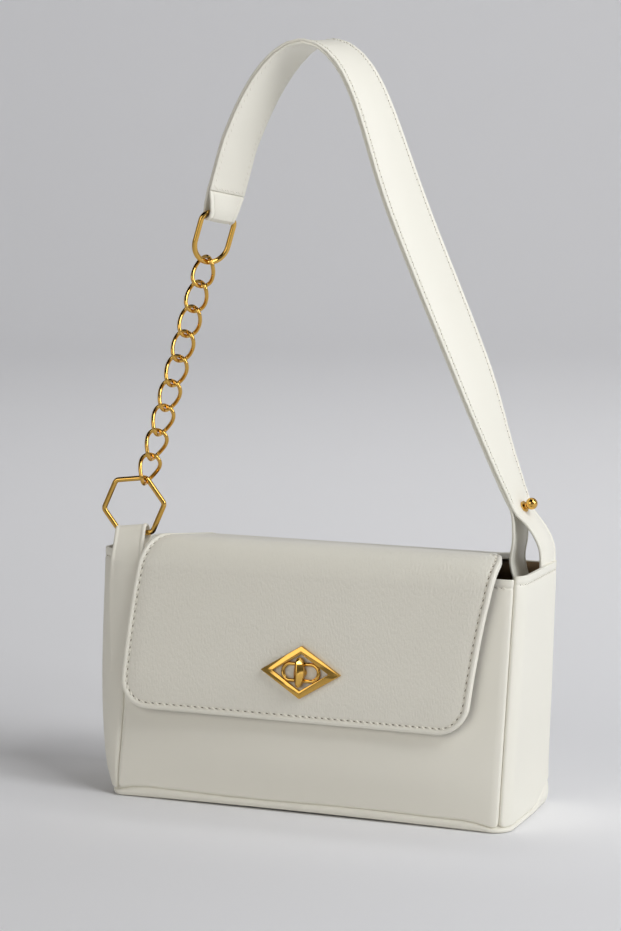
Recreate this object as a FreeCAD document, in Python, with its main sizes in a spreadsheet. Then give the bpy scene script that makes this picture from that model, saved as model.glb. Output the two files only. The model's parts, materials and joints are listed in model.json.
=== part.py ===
import FreeCAD, Part
import math
import os
import re
from types import SimpleNamespace

import Sketcher

# Chain shoulder bag. Millimetres and degrees.
# Origin: centre of the base, on the surface that the bag stands on. +X right, +Y back, +Z up.
SIZES = {
    # Body: back upright, front leaning back, side gussets rounded into the front and back.
    "base_width": 248,
    "mouth_width": 252,
    "base_depth": 88,
    "mouth_depth": 70,
    "body_height": 139,
    "corner_radius": 11,
    "seam_wrap": 7,
    "base_edge_radius": 7,
    "leather_thickness": 2.0,
    "lining_thickness": 1.0,
    "glue_gap": 0.1,
    "board_thickness": 1.8,
    # Flap: a top panel hinged on the back panel, a front panel folding at the front crease.
    "flap_leather": 1.9,
    "flap_lining": 1.3,
    "flap_standoff": 4.5,
    "flap_bend_radius": 16,
    "flap_top_rise": 11,
    "flap_hinge_clearance": 0.35,
    "flap_crease_clearance": 0.55,
    "flap_top_width": 192,
    "flap_bend_width": 196,
    "flap_waist_width": 212,
    "flap_hem_width": 212,
    "flap_waist_height": 115,
    "flap_hem_height": 53,
    "flap_corner_radius": 17,
    # Turn lock: bezel, escutcheon and knob on the flap, keeper on the front panel.
    "lock_height": 80,
    "bezel_width": 49,
    "bezel_height": 30,
    "bezel_window_width": 34,
    "bezel_window_height": 21,
    "bezel_thickness": 2.4,
    "bezel_corner_radius": 1.4,
    "escutcheon_length": 23,
    "escutcheon_height": 11,
    "escutcheon_window_length": 19.6,
    "escutcheon_window_height": 7.6,
    "escutcheon_thickness": 1.2,
    "back_plate_length": 46,
    "back_plate_height": 14,
    "back_plate_thickness": 0.8,
    "lock_screw_spacing": 41,
    "lock_screw_diameter": 1.8,
    "lock_screw_head": 3.4,
    "lock_screw_head_height": 0.6,
    "lock_screw_bite": 1.6,
    "screw_clearance": 0.1,
    "stem_diameter": 4.6,
    "stem_clearance": 0.3,
    "collar_diameter": 6.8,
    "collar_thickness": 1.4,
    "collar_clearance": 0.1,
    "knob_length": 16.4,
    "knob_width": 4.8,
    "knob_height": 6.6,
    "knob_edge_radius": 1.6,
    "neck_diameter": 2.8,
    "tongue_length": 9,
    "tongue_thickness": 1.4,
    "tongue_clearance": 0.4,
    "slot_clearance": 0.5,
    "keeper_width": 22,
    "keeper_height": 24,
    "keeper_wall": 1.0,
    "keeper_depth": 3.2,
    "keeper_flange": 8,
    "keeper_rim": 2,
    "keeper_flange_thickness": 1.0,
    "slot_rise": 5,
    "rivet_diameter": 2.0,
    "rivet_head": 4.0,
    "rivet_head_height": 0.8,
    "rivet_clearance": 0.1,
    "rivet_spacing": 30,
    "washer_length": 38,
    "washer_height": 10,
    "washer_thickness": 0.8,
    # Handle: hexagon ring in a leather tab, curb chain, oblong ring, two layer strap.
    "hexagon_width": 40,
    "hexagon_wire": 3.0,
    "hexagon_bend": 3.0,
    "hexagon_tilt": 6,
    "hexagon_offset": 118,
    "hexagon_forward": 14,
    "hexagon_bar_rise": 10,
    "tab_width": 15.5,
    "tab_leather": 1.6,
    "tab_fold_radius": 3.6,
    "tab_foot_height": 78,
    "tab_gap": 0.3,
    "tab_edge_rise": 1.6,
    "chain_lean": 16.3,
    "link_length": 19.9,
    "link_width": 13.8,
    "link_wire": 2.3,
    "link_clearance": 0.3,
    "link_corner_slack": 0.8,
    "chain_turn": 45,
    "oblong_width": 25,
    "oblong_length": 31.5,
    "oblong_wire": 3.1,
    "oblong_corner": 5.5,
    "strap_width": 31,
    "strap_turn": 30,
    "strap_leather": 1.7,
    "strap_fold_radius": 3.3,
    "strap_turnback": 11,
    "stud_offset": 107,
    "stud_rise": 33,
    "apex_offset": 9,
    "apex_rise": 293,
    "strap_back": 25,
    "leg_width": 24,
    "inner_leg_offset": 105.5,
    "leg_flex_rise": 12.5,
    "leg_gap": 0.3,
    "anchor_length": 40,
    "anchor_bend_rise": 13,
    "ball_diameter": 6.8,
    "ball_neck_diameter": 3.4,
    "stud_foot_diameter": 6.4,
    "stud_foot_thickness": 1.0,
    "stud_neck_length": 1.4,
    "stud_post_diameter": 2.6,
    "stud_screw_head": 5.0,
    "stud_screw_head_height": 0.9,
    "stud_screw_bite": 1.6,
    # One overrun serves every cut.
    "cut_overrun": 60,
}
LINKS = 9

doc = FreeCAD.newDocument("ChainShoulderBag")
sheet = doc.addObject("Spreadsheet::Sheet", "Sizes")
for row, (alias, number) in enumerate(SIZES.items(), start=1):
    sheet.set(f"A{row}", alias)
    sheet.set(f"B{row}", str(number))
    sheet.setAlias(f"B{row}", alias)
doc.recompute()
size = SimpleNamespace(**{alias: float(sheet.get(alias)) for alias in SIZES})
Vector = FreeCAD.Vector
nodes = []


def bind(item, prop, expression):
    """Tie one property to sheet cells: every word with an underscore is a cell."""
    item.setExpression(prop, re.sub(r"\b([a-z]+(?:_[a-z]+)+)\b", r"Sizes.\1", expression))


def keep(item, label):
    item.Label = label
    nodes.append(item)
    return item


def feature(label, shape):
    item = doc.addObject("Part::Feature", label)
    item.Shape = shape
    item.Placement = FreeCAD.Placement()
    return keep(item, label)


# Body shell: tapered block, rounded on its upright edges and round its base.

HEIGHT_SHARE = "({floor}) / body_height"


def edges_where(shape, test):
    return [f"Edge{i}" for i, edge in enumerate(shape.Edges, start=1) if test(edge)]


def form(name, inset, floor):
    """Solid form of the bag, drawn in by inset on its sides, with its underside at floor."""
    body = doc.addObject("PartDesign::Body", name)
    block = body.newObject("PartDesign::AdditiveWedge", name + "Block")
    share = HEIGHT_SHARE.format(floor=floor)
    half_low = f"base_width / 2 + (mouth_width - base_width) / 2 * {share} - ({inset})"
    front_low = f"base_depth / 2 - (base_depth - mouth_depth) * {share} - ({inset})"
    for prop, expression in {
        "Xmin": f"-({half_low})",
        "Xmax": half_low,
        "X2min": f"-(mouth_width / 2 - ({inset}))",
        "X2max": f"mouth_width / 2 - ({inset})",
        "Ymin": floor,
        "Ymax": "body_height",
        "Zmin": f"-(base_depth / 2 - ({inset}))",
        "Zmax": front_low,
        "Z2min": f"-(base_depth / 2 - ({inset}))",
        "Z2max": f"mouth_depth - base_depth / 2 - ({inset})",
    }.items():
        bind(block, prop, expression)
    block.Placement = FreeCAD.Placement(Vector(), FreeCAD.Rotation(Vector(1, 0, 0), 90))
    doc.recompute()
    bottom = block.Shape.BoundBox.ZMin
    top = block.Shape.BoundBox.ZMax

    def upright(edge):
        heights = [vertex.Point.z for vertex in edge.Vertexes]
        return max(heights) - min(heights) > (top - bottom) / 2

    corners = body.newObject("PartDesign::Fillet", name + "Corners")
    corners.Base = (block, edges_where(block.Shape, upright))
    bind(corners, "Radius", f"corner_radius - ({inset})")
    doc.recompute()

    def underside(edge):
        return edge.BoundBox.ZMax < bottom + size.glue_gap

    rim = body.newObject("PartDesign::Fillet", name + "Rim")
    rim.Base = (corners, edges_where(corners.Shape, underside))
    bind(rim, "Radius", f"base_edge_radius - ({inset})")
    doc.recompute()
    return body


def boolean(kind, name, base, tool):
    item = doc.addObject("Part::" + kind, name)
    item.Base = base
    item.Tool = tool
    return item


def zone(name, x_low, x_high, y_low, y_high, z_low, z_high):
    """Box between named planes, for cutting the shell at its seams."""
    box = doc.addObject("Part::Box", name)
    for prop, low, high in (("Length", x_low, x_high), ("Width", y_low, y_high), ("Height", z_low, z_high)):
        bind(box, prop, f"({high}) - ({low})")
    for axis, low in (("x", x_low), ("y", y_low), ("z", z_low)):
        bind(box, f"Placement.Base.{axis}", low)
    return box


seam = "base_width / 2 - corner_radius + seam_wrap"
far_x = "mouth_width / 2 + cut_overrun"
far_y = "base_depth / 2 + cut_overrun"
over = "body_height + cut_overrun"
zones = {
    "front": zone("FrontZone", f"-({seam})", seam, f"-({far_y})", "0", "base_edge_radius", over),
    "back": zone("BackZone", f"-({seam})", seam, "0", far_y, "base_edge_radius", over),
    "left": zone("LeftZone", f"-({far_x})", f"-({seam})", f"-({far_y})", far_y, "base_edge_radius", over),
    "right": zone("RightZone", seam, far_x, f"-({far_y})", far_y, "base_edge_radius", over),
    "base": zone("BaseZone", f"-({far_x})", far_x, f"-({far_y})", far_y, "-cut_overrun", "base_edge_radius"),
}
lining_inset = "leather_thickness + glue_gap"
lining_floor = "leather_thickness + board_thickness + 2 * glue_gap"
outer_form = form("OuterForm", "0", "0")
leather_form = form("LeatherCavity", "leather_thickness", "leather_thickness")
lining_form = form("LiningForm", lining_inset, lining_floor)
hollow_form = form("Hollow", lining_inset + " + lining_thickness", lining_floor + " + lining_thickness")
leather_shell = boolean("Cut", "LeatherShell", outer_form, leather_form)
lining_shell = boolean("Cut", "LiningShell", lining_form, hollow_form)
doc.recompute()

# The front panel's own frame: X along the bag, Y up the leaning panel, Z out of the leather.
lean = math.atan2(size.base_depth - size.mouth_depth, size.body_height)
out = Vector(0, -math.cos(lean), math.sin(lean))
up_panel = Vector(0, math.sin(lean), math.cos(lean))
mouth_front = Vector(0, size.base_depth / 2 - size.mouth_depth, size.body_height)
lock_centre = mouth_front + up_panel * ((size.lock_height - size.body_height) / math.cos(lean))
lock_frame = FreeCAD.Placement(lock_centre, FreeCAD.Rotation(Vector(1, 0, 0), 90 - math.degrees(lean)))


def lock_hole(name, diameter, x):
    """Round tool along the lock's axis, far longer than what it cuts."""
    rod = doc.addObject("Part::Cylinder", name)
    bind(rod, "Radius", f"({diameter}) / 2")
    bind(rod, "Height", "2 * cut_overrun")
    rod.Placement = lock_frame.multiply(FreeCAD.Placement(Vector(x, 0, -size.cut_overrun), FreeCAD.Rotation()))
    return rod


def gathered(name, items):
    group = doc.addObject("Part::Compound", name)
    group.Links = items
    return group


rivet_holes = gathered("RivetHoles", [
    lock_hole(f"RivetHole{side}", "rivet_diameter + 2 * rivet_clearance", sign * size.rivet_spacing / 2)
    for side, sign in (("Left", -1), ("Right", 1))
])
panel_names = {"front": "front_panel", "back": "back_panel", "left": "left_gusset",
               "right": "right_gusset", "base": "base_panel"}
for place, leather_name in panel_names.items():
    for shell, label in ((leather_shell, leather_name), (lining_shell, "lining_" + place)):
        panel = boolean("Common", label.title().replace("_", ""), shell, zones[place])
        if place == "front":
            panel = boolean("Cut", label.title().replace("_", "") + "Pierced", panel, rivet_holes)
        keep(panel, label)


# Sketches: unit outlines that their constraints scale to the named sizes.

def origin_plane(body, role):
    return next(f for f in body.Origin.OriginFeatures if f.Role == role)


def sketch_on(body, name, height, role="XY_Plane"):
    sketch = body.newObject("Sketcher::SketchObject", name)
    sketch.AttachmentSupport = [(origin_plane(body, role), "")]
    sketch.MapMode = "FlatFace"
    bind(sketch, "AttachmentOffset.Base.z", height)
    return sketch


def datum(sketch, kind, *where, expression):
    index = sketch.addConstraint(Sketcher.Constraint(kind, *where, 1.0))
    bind(sketch, f"Constraints[{index}]", expression)


def polygon(sketch, corners):
    """Closed run of straight edges; returns the first edge's number."""
    first = sketch.GeometryCount
    points = [Vector(x, y, 0) for x, y in corners]
    for start, end in zip(points, points[1:] + points[:1]):
        sketch.addGeometry(Part.LineSegment(start, end))
    count = len(points)
    for i in range(count):
        sketch.addConstraint(Sketcher.Constraint("Coincident", first + i, 2, first + (i + 1) % count, 1))
    return first


def rectangle(sketch, width, height, middle="0"):
    """Rectangle centred on the Y axis, with its middle at a height on that axis."""
    first = polygon(sketch, [(-1, -1), (1, -1), (1, 1), (-1, 1)])
    for edge, kind in ((1, "Vertical"), (2, "Horizontal"), (3, "Vertical")):
        sketch.addConstraint(Sketcher.Constraint(kind, first + edge))
    sketch.addConstraint(Sketcher.Constraint("Symmetric", first, 1, first, 2, -2))
    datum(sketch, "DistanceX", first, 1, first, 2, expression=width)
    datum(sketch, "DistanceY", first + 1, 1, first + 1, 2, expression=height)
    datum(sketch, "DistanceY", -1, 1, first + 2, 1, expression=f"({height}) / 2 + ({middle})")


def diamond(sketch, width, height):
    first = polygon(sketch, [(1, 0), (0, 1), (-1, 0), (0, -1)])
    for edge, axis in ((0, -1), (1, -2)):
        sketch.addConstraint(Sketcher.Constraint("PointOnObject", first + edge, 1, axis))
    sketch.addConstraint(Sketcher.Constraint("Symmetric", first, 1, first + 2, 1, -1, 1))
    sketch.addConstraint(Sketcher.Constraint("Symmetric", first + 1, 1, first + 3, 1, -1, 1))
    datum(sketch, "DistanceX", first + 2, 1, first, 1, expression=width)
    datum(sketch, "DistanceY", first + 3, 1, first + 1, 1, expression=height)


def stadium(sketch, length, height):
    first = sketch.GeometryCount
    for x, start in ((1, -90), (-1, 90)):
        circle = Part.Circle(Vector(x, 0, 0), Vector(0, 0, 1), 1)
        sketch.addGeometry(Part.ArcOfCircle(circle, math.radians(start), math.radians(start + 180)))
    sketch.addGeometry(Part.LineSegment(Vector(1, 1, 0), Vector(-1, 1, 0)))
    sketch.addGeometry(Part.LineSegment(Vector(-1, -1, 0), Vector(1, -1, 0)))
    right, left, top, bottom = range(first, first + 4)
    for one, end, other, start in ((right, 2, top, 1), (top, 2, left, 1), (left, 2, bottom, 1), (bottom, 2, right, 1)):
        sketch.addConstraint(Sketcher.Constraint("Tangent", one, end, other, start))
    sketch.addConstraint(Sketcher.Constraint("Symmetric", right, 3, left, 3, -1, 1))
    sketch.addConstraint(Sketcher.Constraint("PointOnObject", right, 3, -1))
    sketch.addConstraint(Sketcher.Constraint("Equal", right, left))
    datum(sketch, "Diameter", right, expression=height)
    datum(sketch, "DistanceX", left, 3, right, 3, expression=f"({length}) - ({height})")


def disc(sketch, diameter, x, side):
    """Circle on the X axis, on the side given by a sign; x 0 puts it on the origin."""
    edge = sketch.addGeometry(Part.Circle(Vector(side, 0, 0), Vector(0, 0, 1), 1))
    datum(sketch, "Diameter", edge, expression=diameter)
    if x == "0":
        sketch.addConstraint(Sketcher.Constraint("Coincident", edge, 3, -1, 1))
        return
    sketch.addConstraint(Sketcher.Constraint("PointOnObject", edge, 3, -1))
    ends = (-1, 1, edge, 3) if side > 0 else (edge, 3, -1, 1)
    datum(sketch, "DistanceX", *ends, expression=x)


def pad(body, sketch, length):
    item = body.newObject("PartDesign::Pad", sketch.Name + "Pad")
    item.Profile = sketch
    bind(item, "Length", length)
    sketch.Visibility = False
    doc.recompute()
    return item


def lock_body(label):
    body = doc.addObject("PartDesign::Body", label.title().replace("_", ""))
    body.AllowCompound = True
    body.Placement = lock_frame
    return keep(body, label)


def padded(body, name, height, length, draw):
    sketch = sketch_on(body, name, height)
    draw(sketch)
    return pad(body, sketch, length)


def round_edges(body, name, base, test, radius, kind="Fillet", prop="Radius"):
    item = body.newObject("PartDesign::" + kind, name)
    item.Base = (base, edges_where(base.Shape, test))
    bind(item, prop, radius)
    doc.recompute()
    return item


FACE = "flap_standoff + flap_lining + glue_gap + flap_leather"


def mirrored(draw_at):
    """Two equal outlines, one each side of the Y axis."""
    return lambda sketch: [draw_at(sketch, side) for side in (-1, 1)]


# Keeper on the front panel: flanged box with a slot, riveted through to a plate inside.
keeper = lock_body("strike_keeper")
cavity_width = "keeper_width - 2 * keeper_wall"
cavity_height = "keeper_height - 2 * keeper_wall"


def keeper_flange(sketch):
    rectangle(sketch, "keeper_width + 2 * keeper_flange", "keeper_height + 2 * keeper_rim")
    rectangle(sketch, cavity_width, cavity_height)
    for side in (-1, 1):
        disc(sketch, "rivet_diameter + 2 * rivet_clearance", "rivet_spacing / 2", side)


def keeper_walls(sketch):
    rectangle(sketch, "keeper_width", "keeper_height")
    rectangle(sketch, cavity_width, cavity_height)


def keeper_face(sketch):
    rectangle(sketch, "keeper_width", "keeper_height")
    rectangle(sketch, "neck_diameter + 2 * slot_clearance", "tongue_length + 2 * slot_clearance + slot_rise",
              "slot_rise / 2")


padded(keeper, "KeeperFlange", "0", "keeper_flange_thickness", keeper_flange)
padded(keeper, "KeeperWalls", "0", "keeper_depth - keeper_wall", keeper_walls)
padded(keeper, "KeeperFace", "keeper_depth - keeper_wall", "keeper_wall", keeper_face)

wall = "leather_thickness + glue_gap + lining_thickness"
backing = lock_body("strike_backing")


def backing_outline(sketch):
    stadium(sketch, "washer_length", "washer_height")
    for side in (-1, 1):
        disc(sketch, "rivet_diameter + 2 * rivet_clearance", "rivet_spacing / 2", side)


padded(backing, "Backing", f"-({wall} + washer_thickness)", "washer_thickness", backing_outline)

rivets = lock_body("strike_rivets")
inner_face = f"-({wall} + washer_thickness)"
padded(rivets, "RivetShanks", inner_face, f"keeper_flange_thickness - ({inner_face})",
       mirrored(lambda sketch, side: disc(sketch, "rivet_diameter", "rivet_spacing / 2", side)))
for name, height in (("Outer", "keeper_flange_thickness"), ("Inner", f"{inner_face} - rivet_head_height")):
    padded(rivets, f"Rivet{name}Heads", height, "rivet_head_height",
           mirrored(lambda sketch, side: disc(sketch, "rivet_head", "rivet_spacing / 2", side)))

# Lock furniture on the flap, from the face of its leather outwards.
bezel = lock_body("lock_bezel")
bite = "lock_screw_bite"


def bezel_outline(sketch):
    diamond(sketch, "bezel_width", "bezel_height")
    diamond(sketch, "bezel_window_width", "bezel_window_height")


def bezel_foot(sketch):
    bezel_outline(sketch)
    for side in (-1, 1):
        disc(sketch, "lock_screw_diameter + 2 * screw_clearance", "lock_screw_spacing / 2", side)


padded(bezel, "BezelFoot", FACE, bite, bezel_foot)
plate = padded(bezel, "BezelFace", f"{FACE} + {bite}", f"bezel_thickness - {bite}", bezel_outline)


def along_axis(edge):
    direction = edge.Vertexes[-1].Point - edge.Vertexes[0].Point
    return not edge.Closed and abs(direction.z) > direction.Length / 2


round_edges(bezel, "BezelCorners", plate, along_axis, "bezel_corner_radius")

escutcheon = lock_body("lock_escutcheon")


def escutcheon_outline(sketch):
    stadium(sketch, "escutcheon_length", "escutcheon_height")
    stadium(sketch, "escutcheon_window_length", "escutcheon_window_height")


padded(escutcheon, "Escutcheon", FACE, "escutcheon_thickness", escutcheon_outline)

back_plate = lock_body("lock_back_plate")


def back_plate_outline(sketch):
    stadium(sketch, "back_plate_length", "back_plate_height")
    disc(sketch, "stem_diameter + 2 * stem_clearance", "0", 1)
    for side in (-1, 1):
        disc(sketch, "lock_screw_diameter + 2 * screw_clearance", "lock_screw_spacing / 2", side)


padded(back_plate, "BackPlate", "flap_standoff - back_plate_thickness", "back_plate_thickness", back_plate_outline)

screws = lock_body("lock_screws")
screw_foot = "flap_standoff - back_plate_thickness"
padded(screws, "ScrewHeads", f"{screw_foot} - lock_screw_head_height", "lock_screw_head_height",
       mirrored(lambda sketch, side: disc(sketch, "lock_screw_head", "lock_screw_spacing / 2", side)))
padded(screws, "ScrewShanks", screw_foot, f"{FACE} + {bite} - ({screw_foot})",
       mirrored(lambda sketch, side: disc(sketch, "lock_screw_diameter", "lock_screw_spacing / 2", side)))

# Knob: half moon fin on a collar, stem through the flap, tongue behind the keeper's slot.
knob = lock_body("lock_knob")
fin_foot = f"{FACE} + collar_clearance + collar_thickness"
stem_foot = "keeper_depth + slot_clearance - collar_clearance"
padded(knob, "KnobStem", stem_foot, f"{fin_foot} - ({stem_foot})",
       lambda sketch: disc(sketch, "stem_diameter", "0", 1))
padded(knob, "KnobCollar", f"{FACE} + collar_clearance", "collar_thickness",
       lambda sketch: disc(sketch, "collar_diameter", "0", 1))
fin_sketch = sketch_on(knob, "KnobFin", "0", "YZ_Plane")
fin_level = size.flap_standoff + size.flap_lining + size.flap_leather + size.collar_thickness
fin_left = Vector(-size.knob_length / 2, fin_level, 0)
fin_right = Vector(size.knob_length / 2, fin_level, 0)
fin_crown = Vector(0, fin_level + size.knob_height, 0)
fin_sketch.addGeometry(Part.LineSegment(fin_left, fin_right))
fin_sketch.addGeometry(Part.Arc(fin_right, fin_crown, fin_left))
fin_sketch.addConstraint(Sketcher.Constraint("Coincident", 0, 2, 1, 1))
fin_sketch.addConstraint(Sketcher.Constraint("Coincident", 0, 1, 1, 2))
fin_sketch.addConstraint(Sketcher.Constraint("Symmetric", 0, 1, 0, 2, -2))
datum(fin_sketch, "DistanceX", 0, 1, 0, 2, expression="knob_length")
datum(fin_sketch, "DistanceY", -1, 1, 0, 1, expression=fin_foot)
datum(fin_sketch, "Radius", 1, expression="(knob_length ^ 2 / 4 + knob_height ^ 2) / (2 * knob_height)")
fin = knob.newObject("PartDesign::Pad", "KnobFinPad")
fin.Profile = fin_sketch
fin.SideType = "Symmetric"
bind(fin, "Length", "knob_width")
doc.recompute()


def fin_rim(edge):
    return edge.BoundBox.YLength > size.collar_diameter and edge.BoundBox.ZLength > size.collar_thickness


round_edges(knob, "KnobEdges", fin, fin_rim, "knob_edge_radius")

tongue = lock_body("lock_tongue")
tongue_top = "tongue_clearance + tongue_thickness"
padded(tongue, "Tongue", "tongue_clearance", "tongue_thickness",
       lambda sketch: rectangle(sketch, "neck_diameter", "tongue_length"))
padded(tongue, "TongueNeck", tongue_top, f"{stem_foot} - ({tongue_top})",
       lambda sketch: disc(sketch, "neck_diameter", "0", 1))

# Board in the base, between leather and lining.
board = keep(doc.addObject("PartDesign::Body", "BaseBoard"), "base_board")
margin = "2 * (leather_thickness + base_edge_radius)"
padded(board, "Board", "leather_thickness + glue_gap", "board_thickness",
       lambda sketch: rectangle(sketch, f"base_width - {margin}", f"base_depth - {margin}"))

# Flap: sections in the plane across the bag, swept along X.
flap_thickness = size.flap_leather + size.glue_gap + size.flap_lining
half = flap_thickness / 2
hinge = Vector(0, size.base_depth / 2 - size.leather_thickness,
               size.body_height + half + size.flap_hinge_clearance)
bend_rise = size.flap_top_rise - flap_thickness - size.flap_bend_radius
bend_offset = size.flap_standoff - size.flap_bend_radius
bend = mouth_front + Vector(0, -(bend_offset - math.sin(lean) * bend_rise) / math.cos(lean), bend_rise)
to_hinge = hinge - bend
middle_radius = size.flap_bend_radius + half
start = math.atan2(to_hinge.z, to_hinge.y) + math.acos(middle_radius / to_hinge.Length)
finish = math.pi - lean


def round_bend(radius, angle):
    return bend + Vector(0, math.cos(angle), math.sin(angle)) * radius


crease = round_bend(middle_radius, start)
x_axis = Vector(1, 0, 0)
half_span = size.mouth_width / 2


def across(wire):
    """Solid swept the whole width of the bag from a closed section at X = 0."""
    face = Part.Face(wire)
    face.translate(x_axis * -half_span)
    return face.extrude(x_axis * (2 * half_span))


def box_between(low, high):
    span = high - low
    return Part.makeBox(span.x, span.y, span.z, low)


along = (crease - hinge).normalize()
rise = x_axis.cross(along) * -1
top_edges = [
    Part.LineSegment(hinge + rise * half, crease + rise * half).toShape(),
    Part.Arc(crease + rise * half, crease + along * half, crease - rise * half).toShape(),
    Part.LineSegment(crease - rise * half, hinge - rise * half).toShape(),
    Part.Arc(hinge - rise * half, hinge - along * half, hinge + rise * half).toShape(),
]
top_solid = across(Part.Wire(top_edges))
tilt = math.atan2(-along.z, -along.y)
slab_frame = FreeCAD.Placement(hinge, FreeCAD.Rotation(x_axis, math.degrees(tilt)))
top_width = box_between(Vector(-size.flap_top_width / 2, -size.base_depth, 0),
                        Vector(size.flap_top_width / 2, size.base_depth, size.body_height + size.cut_overrun))
for label, low, high in (("flap_top_leather", half - size.flap_leather, half + size.cut_overrun),
                         ("flap_top_lining", -half - size.cut_overrun, size.flap_lining - half)):
    slab = box_between(Vector(-half_span, -2 * size.base_depth, low), Vector(half_span, size.base_depth, high))
    slab.Placement = slab_frame
    feature(label, top_solid.common(slab).common(top_width))

# The front of the flap narrows at the bend and has round lower corners.
top_of_flap = size.body_height + size.flap_top_rise
outline_right = [
    Vector(size.flap_hem_width / 2, 0, size.flap_hem_height),
    Vector(size.flap_waist_width / 2, 0, size.flap_waist_height),
    Vector(size.flap_bend_width / 2, 0, bend.z),
    Vector(size.flap_top_width / 2, 0, top_of_flap),
]
outline_left = [Vector(-point.x, 0, point.z) for point in reversed(outline_right)]
outline = Part.makePolygon(outline_right + outline_left + outline_right[:1])
outline_face = Part.Face(outline)
outline_face.translate(Vector(0, -size.base_depth, 0))
outline_prism = outline_face.extrude(Vector(0, size.base_depth, 0))
hem_corners = [
    edge for edge in outline_prism.Edges
    if edge.BoundBox.YLength > size.mouth_depth and edge.BoundBox.ZMax < size.flap_hem_height + half
]
outline_prism = outline_prism.makeFillet(size.flap_corner_radius, hem_corners)
crease_recess = Part.makeCylinder(half + size.flap_crease_clearance, 2 * half_span,
                                  crease - x_axis * half_span, x_axis)


def lock_axis_tool(diameter, x):
    tool = Part.makeCylinder(diameter / 2, 2 * size.cut_overrun, Vector(x, 0, -size.cut_overrun))
    tool.Placement = lock_frame.multiply(tool.Placement)
    return tool


flap_holes = [lock_axis_tool(size.stem_diameter + 2 * size.stem_clearance, 0)]
for side in (-1, 1):
    hole = size.lock_screw_diameter + 2 * size.screw_clearance
    flap_holes.append(lock_axis_tool(hole, side * size.lock_screw_spacing / 2))


def flap_front(low, high):
    """Layer of the flap's front between two radii at the bend, down to the hem."""
    drop = up_panel * ((size.flap_hem_height - bend.z) / math.cos(lean) - high)
    middle = (start + finish) / 2
    edges = [
        Part.Arc(*[round_bend(high, angle) for angle in (start, middle, finish)]).toShape(),
        Part.LineSegment(round_bend(high, finish), round_bend(high, finish) + drop).toShape(),
        Part.LineSegment(round_bend(high, finish) + drop, round_bend(low, finish) + drop).toShape(),
        Part.LineSegment(round_bend(low, finish) + drop, round_bend(low, finish)).toShape(),
        Part.Arc(*[round_bend(low, angle) for angle in (finish, middle, start)]).toShape(),
        Part.LineSegment(round_bend(low, start), round_bend(high, start)).toShape(),
    ]
    return across(Part.Wire(edges)).cut(crease_recess).common(outline_prism).cut(flap_holes)


lining_top = size.flap_bend_radius + size.flap_lining
feature("flap_front_lining", flap_front(size.flap_bend_radius, lining_top))
feature("flap_front_leather", flap_front(lining_top + size.glue_gap, size.flap_bend_radius + flap_thickness))


# Wire pieces: a round section swept round a closed path.

def sweep(path, diameter, solid=True):
    first = path.Edges[0]
    point = first.valueAt(first.FirstParameter)
    tangent = first.tangentAt(first.FirstParameter)
    section = Part.Wire(Part.Circle(point, tangent, diameter / 2).toShape())
    return path.makePipeShell([section], solid, False)


def rounded_path(corners, radii):
    """Closed path of straight runs joined by arcs, one radius for each corner."""
    arcs = []
    for i, (corner, radius) in enumerate(zip(corners, radii)):
        back = (corners[i - 1] - corner).normalize()
        ahead = (corners[(i + 1) % len(corners)] - corner).normalize()
        half_angle = back.getAngle(ahead) / 2
        inward = (back + ahead).normalize()
        centre = corner + inward * (radius / math.sin(half_angle))
        setback = radius / math.tan(half_angle)
        arcs.append((corner + back * setback, centre - inward * radius, corner + ahead * setback))
    edges = []
    for i, (enter, crown, leave) in enumerate(arcs):
        edges.append(Part.Arc(enter, crown, leave).toShape())
        following = arcs[(i + 1) % len(arcs)][0]
        if leave.distanceToPoint(following) > size.glue_gap:
            edges.append(Part.LineSegment(leave, following).toShape())
    return Part.Wire(edges)


# Handle line: from the bar of the hexagon ring to the point where the strap's legs flex.
flex_height = size.body_height + size.leg_flex_rise
wall_thickness = size.leather_thickness + size.glue_gap + size.lining_thickness


def lining_face(height):
    """Half the clear width of the bag at a height."""
    grow = (size.mouth_width - size.base_width) / 2 * height / size.body_height
    return size.base_width / 2 + grow - wall_thickness


outer_leg = lining_face(size.body_height) - size.leg_gap - size.strap_leather / 2
flex = Vector((outer_leg + size.inner_leg_offset) / 2, size.strap_back, flex_height)
yaw = math.atan2(flex.y + size.hexagon_forward, flex.x + size.hexagon_offset)
heading = Vector(math.cos(yaw), math.sin(yaw), 0)
z_axis = Vector(0, 0, 1)
tilt_angle = math.radians(size.hexagon_tilt)
bar_line = heading * math.cos(tilt_angle) + z_axis * math.sin(tilt_angle)
ring_up = z_axis * math.cos(tilt_angle) - heading * math.sin(tilt_angle)
ring_radius = (size.hexagon_width - size.hexagon_wire) / 2
apothem = ring_radius * math.cos(math.pi / 6)
bar_height = size.body_height + size.hexagon_bar_rise
ring_centre = Vector(-size.hexagon_offset, -size.hexagon_forward, bar_height + apothem * math.cos(tilt_angle))
bar_centre = ring_centre - ring_up * apothem
hexagon = [
    ring_centre + (bar_line * math.cos(k * math.pi / 3) + ring_up * math.sin(k * math.pi / 3)) * ring_radius
    for k in range(6)
]
feature("hexagon_ring", sweep(rounded_path(hexagon, [size.hexagon_bend] * 6), size.hexagon_wire))

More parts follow.
